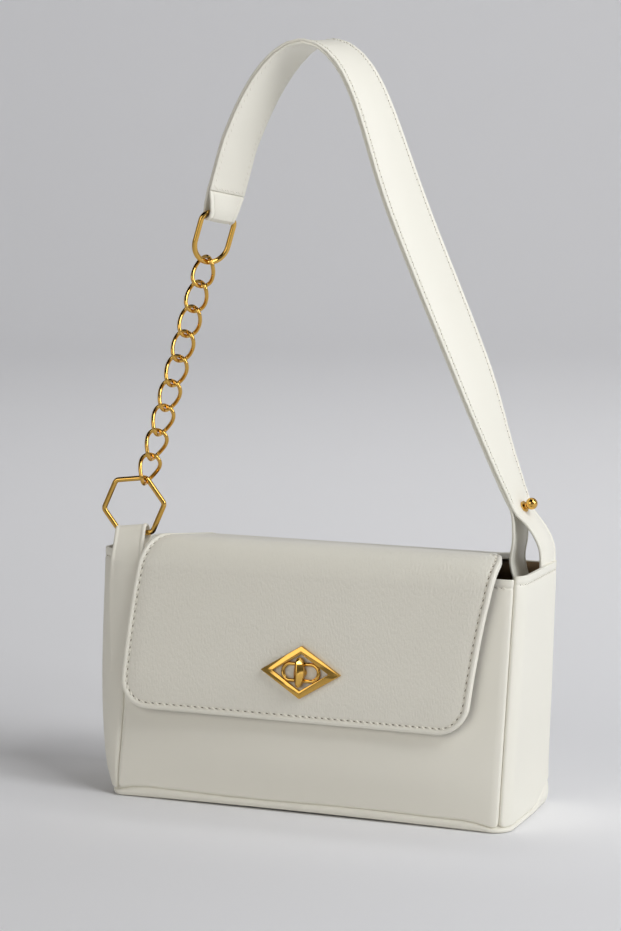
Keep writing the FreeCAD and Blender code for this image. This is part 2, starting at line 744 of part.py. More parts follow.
# Curb chain: each link a twisted oval of wire; the set turns along its length.
lean_angle = math.radians(size.chain_lean)
chain_up = heading * math.sin(lean_angle) + z_axis * math.cos(lean_angle)
link_x = heading * math.cos(lean_angle) - z_axis * math.sin(lean_angle)
link_y = chain_up.cross(link_x)
link_reach = (size.link_length - size.link_wire) / 2
link_half_width = (size.link_width - size.link_wire) / 2
pitch = 2 * link_reach - size.link_wire - size.link_clearance
touch = link_reach - size.link_wire / 2 - size.link_clearance
first_link = hexagon[1] + chain_up * (touch - size.hexagon_wire / 2 - size.link_corner_slack)
LINK_POINTS = 16
link_points = []
for i in range(LINK_POINTS):
    angle = 2 * math.pi * i / LINK_POINTS
    link_points.append(Vector(link_half_width * math.cos(angle), -link_half_width / 2 * math.sin(2 * angle),
                              link_reach * math.sin(angle)))
link_curve = Part.BSplineCurve()
link_curve.interpolate(Points=link_points, PeriodicFlag=True)
curve_start = link_curve.FirstParameter
curve_end = link_curve.LastParameter
curve_middle = (curve_start + curve_end) / 2
link_skin = []
for low, high in ((curve_start, curve_middle), (curve_middle, curve_end)):
    link_skin += sweep(Part.Wire(link_curve.toShape(low, high)), size.link_wire, False).Faces
link_sewn = Part.Compound(link_skin)
link_sewn.sewShape()
link_shape = Part.Solid(link_sewn.Shells[0])
if link_shape.Volume < 0:
    link_shape.reverse()
chain_frame = FreeCAD.Rotation(link_x, link_y, chain_up, "ZXY")
for i in range(LINKS):
    link = doc.addObject("Part::Feature", f"Link{i + 1}")
    link.Shape = link_shape
    turn = FreeCAD.Rotation(z_axis, size.chain_turn * (1 - i / (LINKS - 1)))
    link.Placement = FreeCAD.Placement(first_link + chain_up * (pitch * i), chain_frame.multiply(turn))
    keep(link, f"chain_link_{i + 1}")

# Oblong ring at the top of the chain: round below, straight bar above for the strap.
turned = FreeCAD.Rotation(chain_up, size.chain_turn)
oblong_side = turned.multVec(link_x)
last_link = first_link + chain_up * (pitch * (LINKS - 1))
oblong_foot = last_link + chain_up * (touch - size.oblong_wire / 2)
oblong_half = (size.oblong_width - size.oblong_wire) / 2
oblong_rise = size.oblong_length - size.oblong_wire


def on_oblong(across_reach, up_reach):
    return oblong_foot + oblong_side * across_reach + chain_up * up_reach


shoulder = oblong_half - size.oblong_corner
side_top = oblong_rise - size.oblong_corner
corner_reach = size.oblong_corner * math.sqrt(2) / 2
oblong_edges = [Part.Arc(on_oblong(-oblong_half, oblong_half), oblong_foot, on_oblong(oblong_half, oblong_half))]
oblong_edges.append(Part.LineSegment(on_oblong(oblong_half, oblong_half), on_oblong(oblong_half, side_top)))
oblong_edges.append(Part.Arc(on_oblong(oblong_half, side_top),
                             on_oblong(shoulder + corner_reach, side_top + corner_reach),
                             on_oblong(shoulder, oblong_rise)))
oblong_edges.append(Part.LineSegment(on_oblong(shoulder, oblong_rise), on_oblong(-shoulder, oblong_rise)))
oblong_edges.append(Part.Arc(on_oblong(-shoulder, oblong_rise),
                             on_oblong(-shoulder - corner_reach, side_top + corner_reach),
                             on_oblong(-oblong_half, side_top)))
oblong_edges.append(Part.LineSegment(on_oblong(-oblong_half, side_top), on_oblong(-oblong_half, oblong_half)))
oblong_path = Part.Wire([edge.toShape() for edge in oblong_edges])
feature("oblong_ring", sweep(oblong_path, size.oblong_wire))
oblong_bar = oblong_foot + chain_up * oblong_rise


# Leather bands: rectangular sections along a path, square to it.

def band(stations, thickness, ruled=False):
    """Loft through stations: centre, width direction, width and, where it is known, the face's normal."""
    path = Part.BSplineCurve()
    path.interpolate([station[0] for station in stations])
    wires = []
    for centre, side, width, *normals in stations:
        tangent = Vector(*path.tangent(path.parameter(centre))[0])
        if normals:
            tangent = normals[0].cross(side)
        side = (side - tangent * side.dot(tangent)).normalize()
        normal = side.cross(tangent).normalize()
        corners = [
            centre + side * (width / 2 * i) + normal * (thickness / 2 * j)
            for i, j in ((-1, -1), (1, -1), (1, 1), (-1, 1))
        ]
        wires.append(Part.makePolygon(corners + corners[:1]))
    return Part.makeLoft(wires, True, ruled)


# Tab for the hexagon ring: up the outside of the front, round the bar and down beneath itself.
tab_x = Vector(-size.hexagon_offset, 0, 0)
layer = size.tab_leather
back_out = size.tab_gap + layer / 2
front_out = back_out + layer + size.glue_gap
fold_radius = size.tab_fold_radius + layer / 2
backward = Vector(-math.sin(yaw), math.cos(yaw), 0)


def tab_on_panel(depth, rise):
    return tab_x + mouth_front + out * depth + up_panel * rise


def tab_on_fold(angle):
    return bar_centre + (backward * math.cos(angle) + ring_up * math.sin(angle)) * fold_radius


def tangent_angle(point, upper):
    """Angle on the fold where a straight run from the panel's edge meets it."""
    reach = point - bar_centre
    y = reach.dot(backward)
    z = reach.dot(ring_up)
    return math.atan2(z, y) % (2 * math.pi) - upper * math.acos(fold_radius / math.hypot(y, z))


foot_rise = (size.tab_foot_height - size.body_height) / math.cos(lean)
front_edge = tab_on_panel(front_out, 2 * size.tab_edge_rise)
back_edge = tab_on_panel(back_out, size.tab_edge_rise)
upper = tangent_angle(front_edge, 1)
lower = tangent_angle(back_edge, -1) - 2 * math.pi
FOLD_STEPS = 12
PANEL_SHARES = (1, 0.8, 0.6, 0.4, 0.2, 0.08)
stations = [(tab_on_panel(front_out, foot_rise * share), x_axis, size.tab_width) for share in PANEL_SHARES]
stations.append((front_edge, x_axis, size.tab_width))
for i in range(FOLD_STEPS + 1):
    stations.append((tab_on_fold(upper + (lower - upper) * i / FOLD_STEPS), bar_line, size.tab_width))
stations.append((back_edge, x_axis, size.tab_width))
stations += [
    (tab_on_panel(back_out, foot_rise * share), x_axis, size.tab_width) for share in reversed(PANEL_SHARES)
]
feature("ring_tab", band(stations, layer, True))

# Strap: centre line from the stud over the apex to the oblong ring.
# Each row: share of the way across, share of the way up, share of the width, share of the turn.
RIGHT_LEG_SHARES = (
    (0.0, 0.0, 0.78, 0.17), (0.095, 0.104, 0.84, 0.45), (0.233, 0.277, 0.98, 0.8), (0.392, 0.448, 1.0, 0.87),
    (0.588, 0.662, 1.0, 0.87), (0.753, 0.877, 0.86, 0.87), (0.856, 0.962, 0.82, 0.87), (1.0, 1.0, 0.81, 0.87),
)
LEFT_LEG_SHARES = (
    (0.796, 0.955, 0.82, 0.9), (0.502, 0.766, 0.84, 0.95), (0.268, 0.499, 0.82, 1.0), (0.089, 0.228, 0.74, 1.1),
)
FOLD_WIDTH_SHARE = 0.56
STUD_FORWARD_SHARE = 0.9
stud_point = Vector(size.stud_offset, size.strap_back * STUD_FORWARD_SHARE, size.body_height + size.stud_rise)
apex_height = size.body_height + size.apex_rise
drawn = []
for shares, foot in ((RIGHT_LEG_SHARES, stud_point), (LEFT_LEG_SHARES, oblong_bar)):
    for across_share, up_share, width_share, turn_share in shares:
        x = foot.x + (-size.apex_offset - foot.x) * across_share
        z = foot.z + (apex_height - foot.z) * up_share
        y = stud_point.y + (oblong_bar.y - stud_point.y) * (stud_point.x - x) / (stud_point.x - oblong_bar.x)
        drawn.append((Vector(x, y, z), size.strap_width * width_share, math.radians(size.strap_turn * turn_share)))
strap_path = Part.BSplineCurve()
strap_path.interpolate([point for point, width, turn in drawn] + [oblong_bar])
marks = [strap_path.parameter(point) for point, width, turn in drawn]
ARCH_STEPS = 60


def between(mark, values):
    """Value at a place on the path, eased from one drawn row to the next."""
    after = next((i for i in range(1, len(marks) - 1) if marks[i] >= mark), len(marks) - 1)
    share = (mark - marks[after - 1]) / (marks[after] - marks[after - 1])
    share = share * share * (3 - 2 * share)
    return values[after - 1] + (values[after] - values[after - 1]) * share


line = []
for i in range(ARCH_STEPS + 1):
    mark = marks[0] + (marks[-1] - marks[0]) * i / ARCH_STEPS
    turn = between(mark, [row[2] for row in drawn])
    side = Vector(math.sin(turn), math.cos(turn), 0)
    tangent = Vector(*strap_path.tangent(mark)[0])
    side = (side - tangent * side.dot(tangent)).normalize()
    normal = side.cross(tangent).normalize()
    line.append((strap_path.value(mark), side, between(mark, [row[1] for row in drawn]), normal))
layer = size.strap_leather
layer_offset = (layer + size.glue_gap) / 2


def arch(sign):
    """Stations of one layer of the arch, outside for +1 and inside for -1."""
    return [
        (point + normal * (layer_offset * sign), side, width, normal) for point, side, width, normal in line
    ]


y_axis = Vector(0, 1, 0)
ROUND_END_SHARES = (0.96, 0.85, 0.7, 0.42, 0)
KNEE_SPREAD_SHARE = 1.8


def leg(x, knees, sign):
    """Round end about the flex line, then up to the stud through the knees given as shares."""
    rows = []
    radius = size.leg_width / 2
    back = flex.y + (x - flex.x) * math.tan(yaw)
    for share in ROUND_END_SHARES:
        width = size.leg_width * math.sqrt(1 - share ** 2)
        rows.append((Vector(x, back, flex_height - radius * share), y_axis, width))
    for x_share, z_share in knees:
        y = back + (stud_point.y - back) * z_share
        z = flex_height + (stud_point.z - flex_height) * z_share
        spread = layer_offset * KNEE_SPREAD_SHARE * sign * x_share
        rows.append((Vector(x + (stud_point.x - x) * x_share + spread, y, z), y_axis, size.leg_width))
    return rows


OUTER_KNEE_SHARES = ((0.04, 0.07), (0.15, 0.17), (0.33, 0.34), (0.54, 0.54), (0.76, 0.76))
INNER_KNEE_SHARES = ((0.05, 0.2), (0.2, 0.4), (0.45, 0.6), (0.65, 0.8))
fold_out = oblong_side.cross(chain_up * -1).normalize()
fold_radius = size.strap_fold_radius + layer / 2
fold_width = size.strap_width * FOLD_WIDTH_SHARE


def strap_fold(height, depth):
    return (oblong_bar + chain_up * height + fold_out * depth, oblong_side, fold_width)


end_out = layer_offset * 2
half_out = (fold_radius + end_out) / 2
fold = [strap_fold(size.strap_turnback, end_out), strap_fold(size.strap_turnback / 2, half_out)]
for i in range(FOLD_STEPS + 1):
    angle = math.pi * i / FOLD_STEPS
    fold.append(strap_fold(-fold_radius * math.sin(angle), fold_radius * math.cos(angle)))
fold += [strap_fold(size.strap_turnback / 2, -half_out), strap_fold(size.strap_turnback, -end_out)]
outer_band = band(leg(outer_leg, OUTER_KNEE_SHARES, 1) + arch(1) + fold, layer, True)
inner_band = band(leg(size.inner_leg_offset, INNER_KNEE_SHARES, -1) + arch(-1), layer, True)

# Ball stud through both layers, held by a screw from inside.
stud_out = line[0][3]
stud_frame = FreeCAD.Placement(stud_point, FreeCAD.Rotation(z_axis, stud_out))


def stud_rod(name, diameter, low, high):
    rod = doc.addObject("Part::Cylinder", name)
    bind(rod, "Radius", f"({diameter}) / 2")
    bind(rod, "Height", f"({high}) - ({low})")
    bind(rod, "Placement.Base.z", low)
    return rod


strap_face = "strap_leather + glue_gap / 2"
foot_top = f"{strap_face} + stud_foot_thickness"
neck_top = f"{foot_top} + stud_neck_length"
ball = doc.addObject("Part::Sphere", "Ball")
bind(ball, "Radius", "ball_diameter / 2")
bind(ball, "Placement.Base.z", f"{neck_top} + ball_diameter / 2 - stud_foot_thickness / 2")
turned_stud = doc.addObject("Part::MultiFuse", "StudTurned")
turned_stud.Shapes = [
    ball,
    stud_rod("StudFoot", "stud_foot_diameter", strap_face, foot_top),
    stud_rod("StudNeck", "ball_neck_diameter", strap_face, f"{neck_top} + stud_foot_thickness"),
]
post = "stud_post_diameter"
post_top = f"{strap_face} + stud_screw_bite"
bore = stud_rod("StudBore", f"{post} + 2 * screw_clearance", f"-({strap_face})", f"{post_top} + screw_clearance")
stud = keep(boolean("Cut", "StrapStud", turned_stud, bore), "strap_stud")
screw = keep(doc.addObject("Part::MultiFuse", "StudScrew"), "stud_screw")
screw.Shapes = [
    stud_rod("StudPost", post, f"-({strap_face})", post_top),
    stud_rod("StudScrewHead", "stud_screw_head", f"-({strap_face} + stud_screw_head_height)", f"-({strap_face})"),
]
doc.recompute()
for item in (stud, screw):
    item.Placement = stud_frame
hole = Part.makeCylinder(size.stud_post_diameter / 2 + size.screw_clearance, 2 * size.ball_diameter,
                         Vector(0, 0, -size.ball_diameter))
hole.Placement = stud_frame.multiply(hole.Placement)


def seat(diameter, sign):
    """Room for a head that stands on one face of the strap."""
    depth = 2 * size.stud_screw_head_height
    level = size.strap_leather + size.glue_gap / 2
    tool = Part.makeCylinder(diameter / 2 + size.screw_clearance, depth, Vector(0, 0, level), z_axis * sign)
    tool.translate(Vector(0, 0, level * sign - level))
    tool.Placement = stud_frame.multiply(tool.Placement)
    return tool


feature("strap_outer", outer_band.cut(hole).cut(seat(size.stud_foot_diameter, 1)))
feature("strap_lining", inner_band.cut(hole).cut(seat(size.stud_screw_head, -1)))

# Roots of the strap's legs, sewn inside the right gusset.
anchor_top = flex_height - size.leg_width / 2 - size.leg_gap
anchor_foot = anchor_top - size.anchor_length


ANCHOR_WIDTH_SHARE = 0.8
anchor_width = size.leg_width * ANCHOR_WIDTH_SHARE
anchor_back = size.strap_back - (size.leg_width - anchor_width) / 2


def anchor_row(x, height):
    return (Vector(x, anchor_back, height), y_axis, anchor_width)


def beside_lining(height, layers):
    inset = (size.leg_gap + layer) * layers + size.leg_gap + layer / 2
    return anchor_row(lining_face(height) - inset, height)


feature("strap_anchor_outer", band([beside_lining(anchor_foot, 0), beside_lining(anchor_top, 0)], layer, True))
low_bend = beside_lining(anchor_foot + size.anchor_bend_rise, 1)
mid_height = (low_bend[0].z + anchor_top) / 2
feature("strap_anchor_inner", band([
    beside_lining(anchor_foot, 1),
    low_bend,
    anchor_row((low_bend[0].x + size.inner_leg_offset) / 2, mid_height),
    anchor_row(size.inner_leg_offset, anchor_top),
], layer, True))

# Every piece has to be sound before it is written.
doc.recompute()
for item in doc.Objects:
    if "Invalid" in item.State or "Error" in item.State:
        raise RuntimeError(f"{item.Label} did not build")
for item in nodes:
    if item.Shape.isNull() or not item.Shape.isValid() or item.Shape.Volume <= 0:
        raise RuntimeError(f"{item.Label} is not a sound solid")
os.makedirs("parts", exist_ok=True)
for item in nodes:
    item.Shape.exportStep(f"parts/{item.Label}.step")
    print(f"{item.Label}: {len(item.Shape.Solids)} solid, {item.Shape.Volume:.0f} mm3")
for name, point in (("hinge", hinge), ("crease", crease), ("lock", lock_centre), ("lock axis", out),
                    ("bar", bar_centre), ("flex", flex), ("chain", first_link), ("chain axis", chain_up),
                    ("ring bar", oblong_bar)):
    print(f"{name}: {point.x:.4f} {point.y:.4f} {point.z:.4f}")
print(f"pitch: {pitch:.4f}")
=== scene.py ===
# %% [markdown]
# # A leather shoulder bag on a chain and strap
#
# The CAD model gives the frame: where each piece sits and how the joints move. This script dresses it.
# Leather is handled the way a bag maker handles it. Each piece is cut flat, its edges are rounded,
# its stitches are set in the flat, and then the whole cut is laid over the form it belongs to.

# %% Load the frame
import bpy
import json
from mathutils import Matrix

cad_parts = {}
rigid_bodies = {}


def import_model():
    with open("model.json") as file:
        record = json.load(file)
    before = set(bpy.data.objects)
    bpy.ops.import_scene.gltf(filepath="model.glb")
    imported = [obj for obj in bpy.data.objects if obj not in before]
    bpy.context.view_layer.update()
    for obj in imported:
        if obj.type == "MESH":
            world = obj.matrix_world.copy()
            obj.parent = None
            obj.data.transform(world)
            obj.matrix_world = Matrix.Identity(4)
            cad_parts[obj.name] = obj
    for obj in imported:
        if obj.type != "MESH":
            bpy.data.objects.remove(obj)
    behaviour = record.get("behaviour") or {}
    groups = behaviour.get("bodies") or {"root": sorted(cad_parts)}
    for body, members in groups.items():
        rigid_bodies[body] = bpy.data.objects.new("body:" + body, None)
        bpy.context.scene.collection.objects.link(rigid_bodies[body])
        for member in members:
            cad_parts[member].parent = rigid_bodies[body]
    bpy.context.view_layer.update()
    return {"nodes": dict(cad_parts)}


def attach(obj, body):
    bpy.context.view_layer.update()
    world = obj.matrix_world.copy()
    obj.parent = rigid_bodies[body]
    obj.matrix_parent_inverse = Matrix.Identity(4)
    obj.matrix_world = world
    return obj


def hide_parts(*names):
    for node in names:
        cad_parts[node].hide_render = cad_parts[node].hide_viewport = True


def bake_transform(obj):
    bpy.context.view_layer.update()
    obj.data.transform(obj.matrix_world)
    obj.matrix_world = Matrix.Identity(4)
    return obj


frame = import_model()
print("nodes in the frame:", len(frame["nodes"]))

# %% [markdown]
# ## Working by hand
#
# A few hand moves are used on every piece: clear the bench, pick a piece, select by place, extrude,
# add one modifier and keep it. They are written once here, so that the steps below read as the work does.

# %% Bench helpers
import json
import math

import bmesh
import bpy
from mathutils import Matrix, Vector

MM = 0.001
ACROSS = Vector((1, 0, 0))
ALONG = Vector((0, 1, 0))


def clear():
    """Leaves edit mode with nothing selected."""
    if bpy.context.mode != "OBJECT":
        bpy.ops.object.mode_set(mode="OBJECT")
    bpy.ops.object.select_all(action="DESELECT")


def pick(piece):
    """Selects one piece alone."""
    clear()
    piece.select_set(True)
    bpy.context.view_layer.objects.active = piece


def named(name):
    """Names the object just added and opens it for editing."""
    piece = bpy.context.object
    piece.name = name
    piece.data.name = name
    bpy.ops.object.mode_set(mode="EDIT")
    return piece


def whole():
    """Selects all of the piece that is open for editing."""
    bpy.ops.mesh.select_all(action="SELECT")


def select(piece, kind, test):
    """Selects only the verts, edges or faces that pass the test."""
    bpy.ops.mesh.select_mode(type={"verts": "VERT", "edges": "EDGE", "faces": "FACE"}[kind])
    bpy.ops.mesh.select_all(action="DESELECT")
    mesh = bmesh.from_edit_mesh(piece.data)
    for item in getattr(mesh, kind):
        item.select_set(test(item))
    mesh.select_flush_mode()
    bmesh.update_edit_mesh(piece.data)


def raise_by(height):
    """Extrudes what is selected straight up."""
    bpy.ops.mesh.extrude_region_move(TRANSFORM_OT_translate={"value": (0, 0, height)})


def face_out(inside=False):
    """Turns all faces of the open piece outwards, or inwards if asked."""
    whole()
    bpy.ops.mesh.normals_make_consistent(inside=inside)


def finish_with(piece, kind, **settings):
    """Adds one modifier, sets it and applies it."""
    pick(piece)
    modifier = piece.modifiers.new(kind.title(), kind)
    for setting, value in settings.items():
        setattr(modifier, setting, value)
    bpy.ops.object.modifier_apply(modifier=modifier.name)


print("one millimetre is", MM, "m, and the bench is in mode", bpy.context.mode)

# %% [markdown]
# ## Cutting leather
#
# A blank is a flat rectangle with its good side up: x across, y along from its hem, z out.
# It could be modelled in place, but a flat cut is easy to score, round and sew, and a formula then
# carries it to the bag. It is scored across wherever it will bend, given its thickness and a rounded
# rim, and laid. The flat place of each point is kept on the mesh, so the grain follows the cut.

# %% Flat work
CORNER_STEPS = 10
RIM_STEPS = 3
RIM_ANGLE = math.radians(50)
SMOOTH_ANGLE = math.radians(38)


def blank(name, wide, long, corner=0):
    """Flat cut from y = 0 to its length, with round corners at the hem end if asked."""
    clear()
    bpy.ops.mesh.primitive_plane_add(size=1, location=(0, long / 2, 0))
    bpy.ops.transform.resize(value=(wide, long, 1))
    bpy.ops.object.transform_apply(location=True, rotation=False, scale=True)
    piece = named(name)
    if corner:
        select(piece, "verts", lambda vert: vert.co.y < long / 2)
        bpy.ops.mesh.bevel(offset=corner, segments=CORNER_STEPS, affect="VERTICES")
    return piece


def border(insets):
    """Scores lines that follow the outline of the open cut, each a step further in."""
    whole()
    for inset in insets:
        bpy.ops.mesh.inset(thickness=inset)


def score(direction, stops):
    """Scores the open cut straight across at each stop."""
    for stop in stops:
        whole()
        bpy.ops.mesh.bisect(plane_co=direction * stop, plane_no=direction)


def spaced(start, end, step):
    """Even stops strictly between two places, about one step apart."""
    count = max(1, round(abs(end - start) / step))
    return [start + (end - start) * i / count for i in range(1, count)]


def round_edges(piece, width, steps, sharp=RIM_ANGLE):
    """Rounds every edge that is sharper than the angle."""
    finish_with(piece, "BEVEL", width=width, segments=steps, limit_method="ANGLE", angle_limit=sharp)


def thicken(piece, thickness, rim):
    """Gives the cut its thickness below the good side, and rounds the rim."""
    finish_with(piece, "SOLIDIFY", thickness=thickness, offset=-1)
    round_edges(piece, rim, RIM_STEPS)


def lay(piece, place):
    """Carries every point of a flat cut to its place on the bag, and keeps where it was in the flat."""
    flat = piece.data.attributes.new("flat", "FLOAT_VECTOR", "POINT")
    for vert in piece.data.vertices:
        flat.data[vert.index].vector = vert.co
        vert.co = place(*vert.co)
    pick(piece)
    bpy.ops.object.shade_smooth_by_angle(angle=SMOOTH_ANGLE)
    size = [round(side / MM) for side in piece.dimensions]
    print(piece.name, len(piece.data.polygons), "faces,", size, "mm")


print("stops on a 100 mm cut:", [round(stop / MM) for stop in spaced(0, 100 * MM, 25 * MM)])

# %% [markdown]
# ## Finishes
#
# The bag is ivory calf: the body smooth with very fine pores, the flap boarded so that its grain stands
# in short upright pebbles. The lining is brown suede. The fittings are brass with a polished gold plate.
# Colours are read as sRGB and turned to linear light by one function, because shaders work in linear
# light. One more function adds a node with its settings and links, whatever its kind.

# %% Colour and node helpers


def linear(code):
    """Linear colour from an sRGB hex code."""
    channels = []
    for start in (1, 3, 5):
        value = int(code[start:start + 2], 16) / 255
        channels.append(value / 12.92 if value <= 0.04045 else ((value + 0.055) / 1.055) ** 2.4)
    return (*channels, 1)


def node(material, kind, **inputs):
    """Adds a node: plain settings by name, sockets by name with spaces as underscores."""
    made = material.node_tree.nodes.new(kind)
    for key, value in inputs.items():
        socket = made.inputs.get(key.replace("_", " "))
        if socket is None:
            setattr(made, key, value)
        elif isinstance(value, bpy.types.NodeSocket):
            material.node_tree.links.new(value, socket)
        else:
            socket.default_value = value
    return made


def shader_of(material):
    return material.node_tree.nodes["Principled BSDF"]


def material_of(name, code, **values):
    """A principled material of one colour."""
    made = bpy.data.materials.new(name)
    made.use_nodes = True
    shader_of(made).inputs["Base Color"].default_value = linear(code)
    for key, value in values.items():
        shader_of(made).inputs[key.replace("_", " ")].default_value = value
    return made


def relief(material, height, depth):
    """Lets a pattern raise and sink the surface by a depth."""
    bump = node(material, "ShaderNodeBump", Height=height, Distance=depth, Strength=1.0)
    material.node_tree.links.new(bump.outputs["Normal"], shader_of(material).inputs["Normal"])


print("middle grey in linear light:", round(linear("#808080")[0], 3))

# %% [markdown]
# ### Ivory leather
#
# Finished calf has an index of refraction near 1.5 and a satin surface. Its pores are about half a
# millimetre apart. On the flap the grain is coarser: pebbles about 1 mm across and 2.6 mm tall.
# The grain could be an image, but noise stretched to the size of the pebbles needs no file and has no
# repeat. The dye lies evenly, so the tone is one colour and only the relief of the grain breaks the light.

# %% Leathers
IVORY = "#EEEBDF"
LEATHER_IOR = 1.5


def leather(name, grain_across, grain_along, depth, roughness):
    """Ivory leather with a grain of this size, drawn in the flat of the cut."""
    made = material_of(name, IVORY, Roughness=roughness, IOR=LEATHER_IOR)
    flat = node(made, "ShaderNodeAttribute", attribute_name="flat").outputs["Vector"]
    stretched = node(made, "ShaderNodeMapping", Vector=flat,
                     Scale=(1 / grain_across, 1 / grain_along, 1 / grain_across))
    grain = node(made, "ShaderNodeTexNoise", Vector=stretched.outputs["Vector"],
                 Scale=1.0, Detail=3.0, Roughness=0.55)
    relief(made, grain.outputs["Fac"], depth)
    return made


# Smooth calf: an even satin sheen. Boarded calf: the same sheen, broken up by the pebbles.
smooth_leather = leather("leather_smooth", 0.55 * MM, 0.6 * MM, 0.04 * MM, 0.46)
grained_leather = leather("leather_grained", 1.0 * MM, 2.6 * MM, 0.35 * MM, 0.44)
print("leathers:", smooth_leather.name, grained_leather.name)

# %% [markdown]
# ### Suede, thread, plate and board
#
# Suede is the split side of a hide: matt, with a soft nap that brightens at grazing angles, which is
# what the sheen of the shader is for. The thread is bonded polyester in the leather's colour. Each needle
# hole is a flat dark mark of painted shade, standing for the shade that falls inside the hole. Gold plate
# on brass is a plain metal: its colour is its reflection, and a polished one is nearly a mirror. The
# steel behind the leather is plated too, and a little duller.

# %% Other finishes
NAP_WIDTH = 0.8 * MM
NAP_DEPTH = 0.15 * MM
suede = material_of("suede", "#6E5637", Roughness=0.95, Sheen_Weight=0.5, Sheen_Roughness=0.4)
nap_place = node(suede, "ShaderNodeTexCoord").outputs["Object"]
nap = node(suede, "ShaderNodeTexNoise", Vector=nap_place, Scale=1 / NAP_WIDTH, Detail=3.0)
relief(suede, nap.outputs["Fac"], NAP_DEPTH)
thread = material_of("thread", "#EDE9DD", Roughness=0.55)
# Painted shade: the grey-brown of a needle hole stands for the shade that falls inside the hole.
painted_hole_shade = material_of("painted_hole_shade", "#857D6D", Roughness=0.9)
gold = material_of("gold_plate", "#DDB05A", Metallic=1.0, Roughness=0.08)
steel = material_of("plated_steel", "#C9C6BF", Metallic=1.0, Roughness=0.25)
board = material_of("fibre_board", "#8A7458", Roughness=0.9)
print("materials:", len(bpy.data.materials))


def dress(piece, *materials):
    """Gives a piece its materials, the first for all its faces."""
    piece.data.materials.clear()
    for item in materials:
        piece.data.materials.append(item)


# %% [markdown]
# ## The form of the body
#
# The body is a box that narrows in depth towards its mouth, because the front leans back. In plan it has
# straight sides and round corners. A place on it is given by the run round the plan from the middle of
# the front, and the height. A formula for that place lets every flat cut be laid on the same form. The
# leather is soft: the left gusset swells out and draws in at its foot, and the right one draws in
# towards the back.

# %% Body form
BASE_HALF = 124 * MM
MOUTH_HALF = 126 * MM
FRONT_AT_BASE = -44 * MM
FRONT_AT_MOUTH = -26 * MM
BACK = 44 * MM
BODY_HEIGHT = 139 * MM
CORNER = 11 * MM
FRONT_HALF_RUN = 113 * MM
TURN_RUN = CORNER * math.pi / 2
SIDE_RUN = 57 * MM
GUSSET_RUN = 2 * TURN_RUN + SIDE_RUN
WHOLE_RUN = 2 * (2 * FRONT_HALF_RUN + GUSSET_RUN)
LEFT_SWELL = 9.5 * MM
LEFT_BACK_SWELL = 4 * MM
LEFT_DRAW = 4 * MM
LEFT_DRAW_HEIGHT = 22 * MM
RIGHT_DRAW = 4 * MM


def eased(share):
    """Smooth step from 0 to 1."""
    share = min(1, max(0, share))
    return share * share * (3 - 2 * share)


def between(first, second, share):
    return first + (second - first) * share


def one_lap(run):
    """The same run counted from the middle of the front, at most half way round either way."""
    return (run + WHOLE_RUN / 2) % WHOLE_RUN - WHOLE_RUN / 2


def plan(run, height):
    """Point on the outside of the body."""
    rise = height / BODY_HEIGHT
    half = between(BASE_HALF, MOUTH_HALF, rise)
    front = between(FRONT_AT_BASE, FRONT_AT_MOUTH, rise)
    run = one_lap(run)
    sign = -1 if run < 0 else 1
    full = 1 - max(0, 1 - rise) ** 4
    ahead, behind = 0, RIGHT_DRAW * (rise / 2 - 1)
    if run < 0:
        ahead = LEFT_SWELL * full - LEFT_DRAW * max(0, 1 - height / LEFT_DRAW_HEIGHT) ** 2
        behind = LEFT_BACK_SWELL * full
    left = abs(run)
    if left < FRONT_HALF_RUN:
        return Vector((sign * (half - CORNER) * left / FRONT_HALF_RUN, front, height))
    left -= FRONT_HALF_RUN
    if left < TURN_RUN:
        angle = left / CORNER
        return Vector((sign * (half - CORNER + (CORNER + ahead) * math.sin(angle)),
                       front + CORNER - CORNER * math.cos(angle), height))
    left -= TURN_RUN
    if left < SIDE_RUN:
        share = left / SIDE_RUN
        return Vector((sign * (half + between(ahead, behind, share)),
                       between(front + CORNER, BACK - CORNER, share), height))
    left -= SIDE_RUN
    if left < TURN_RUN:
        angle = left / CORNER
        return Vector((sign * (half - CORNER + (CORNER + behind) * math.cos(angle)),
                       BACK - CORNER + CORNER * math.sin(angle), height))
    left -= TURN_RUN
    return Vector((sign * (half - CORNER) * (1 - left / FRONT_HALF_RUN), BACK, height))


print("run round the body:", round(WHOLE_RUN / MM), "mm")

# %% [markdown]
# ### On the walls
#
# A wall has a thickness, and stitches stand on it, so a point is also given by its distance out from the
# form. The direction out is the cross product of a small step round and a small step up. The lower back
# corners of the walls draw up a little, as they do on a bag that has been carried.

# %% Places on the walls
SMALL = 0.01 * MM
CORNER_LIFT = 14 * MM
LIFT_ASIDE_FROM = 75 * MM
LIFT_ASIDE_REACH = 46 * MM
LIFT_BEHIND_FROM = 6 * MM
LIFT_BEHIND_REACH = 36 * MM
LIFT_HEIGHT = 42 * MM
CORNER_STEP = 1.6 * MM
PANEL_STEP = 8 * MM


def settled(point, lift):
    """The same point after the lower back corners of the walls have drawn up."""
    aside = eased((abs(point.x) - LIFT_ASIDE_FROM) / LIFT_ASIDE_REACH)
    behind = eased((point.y - LIFT_BEHIND_FROM) / LIFT_BEHIND_REACH)
    low = max(0, 1 - point.z / LIFT_HEIGHT) ** 2
    return point + Vector((0, 0, lift * CORNER_LIFT * aside * behind * low))


def wall(run, height, out, lift=1):
    """Point at a distance out from the body's outside."""
    around = plan(run + SMALL, height) - plan(run - SMALL, height)
    rising = plan(run, height + SMALL) - plan(run, height - SMALL)
    return settled(plan(run, height) + around.cross(rising).normalized() * out, lift)


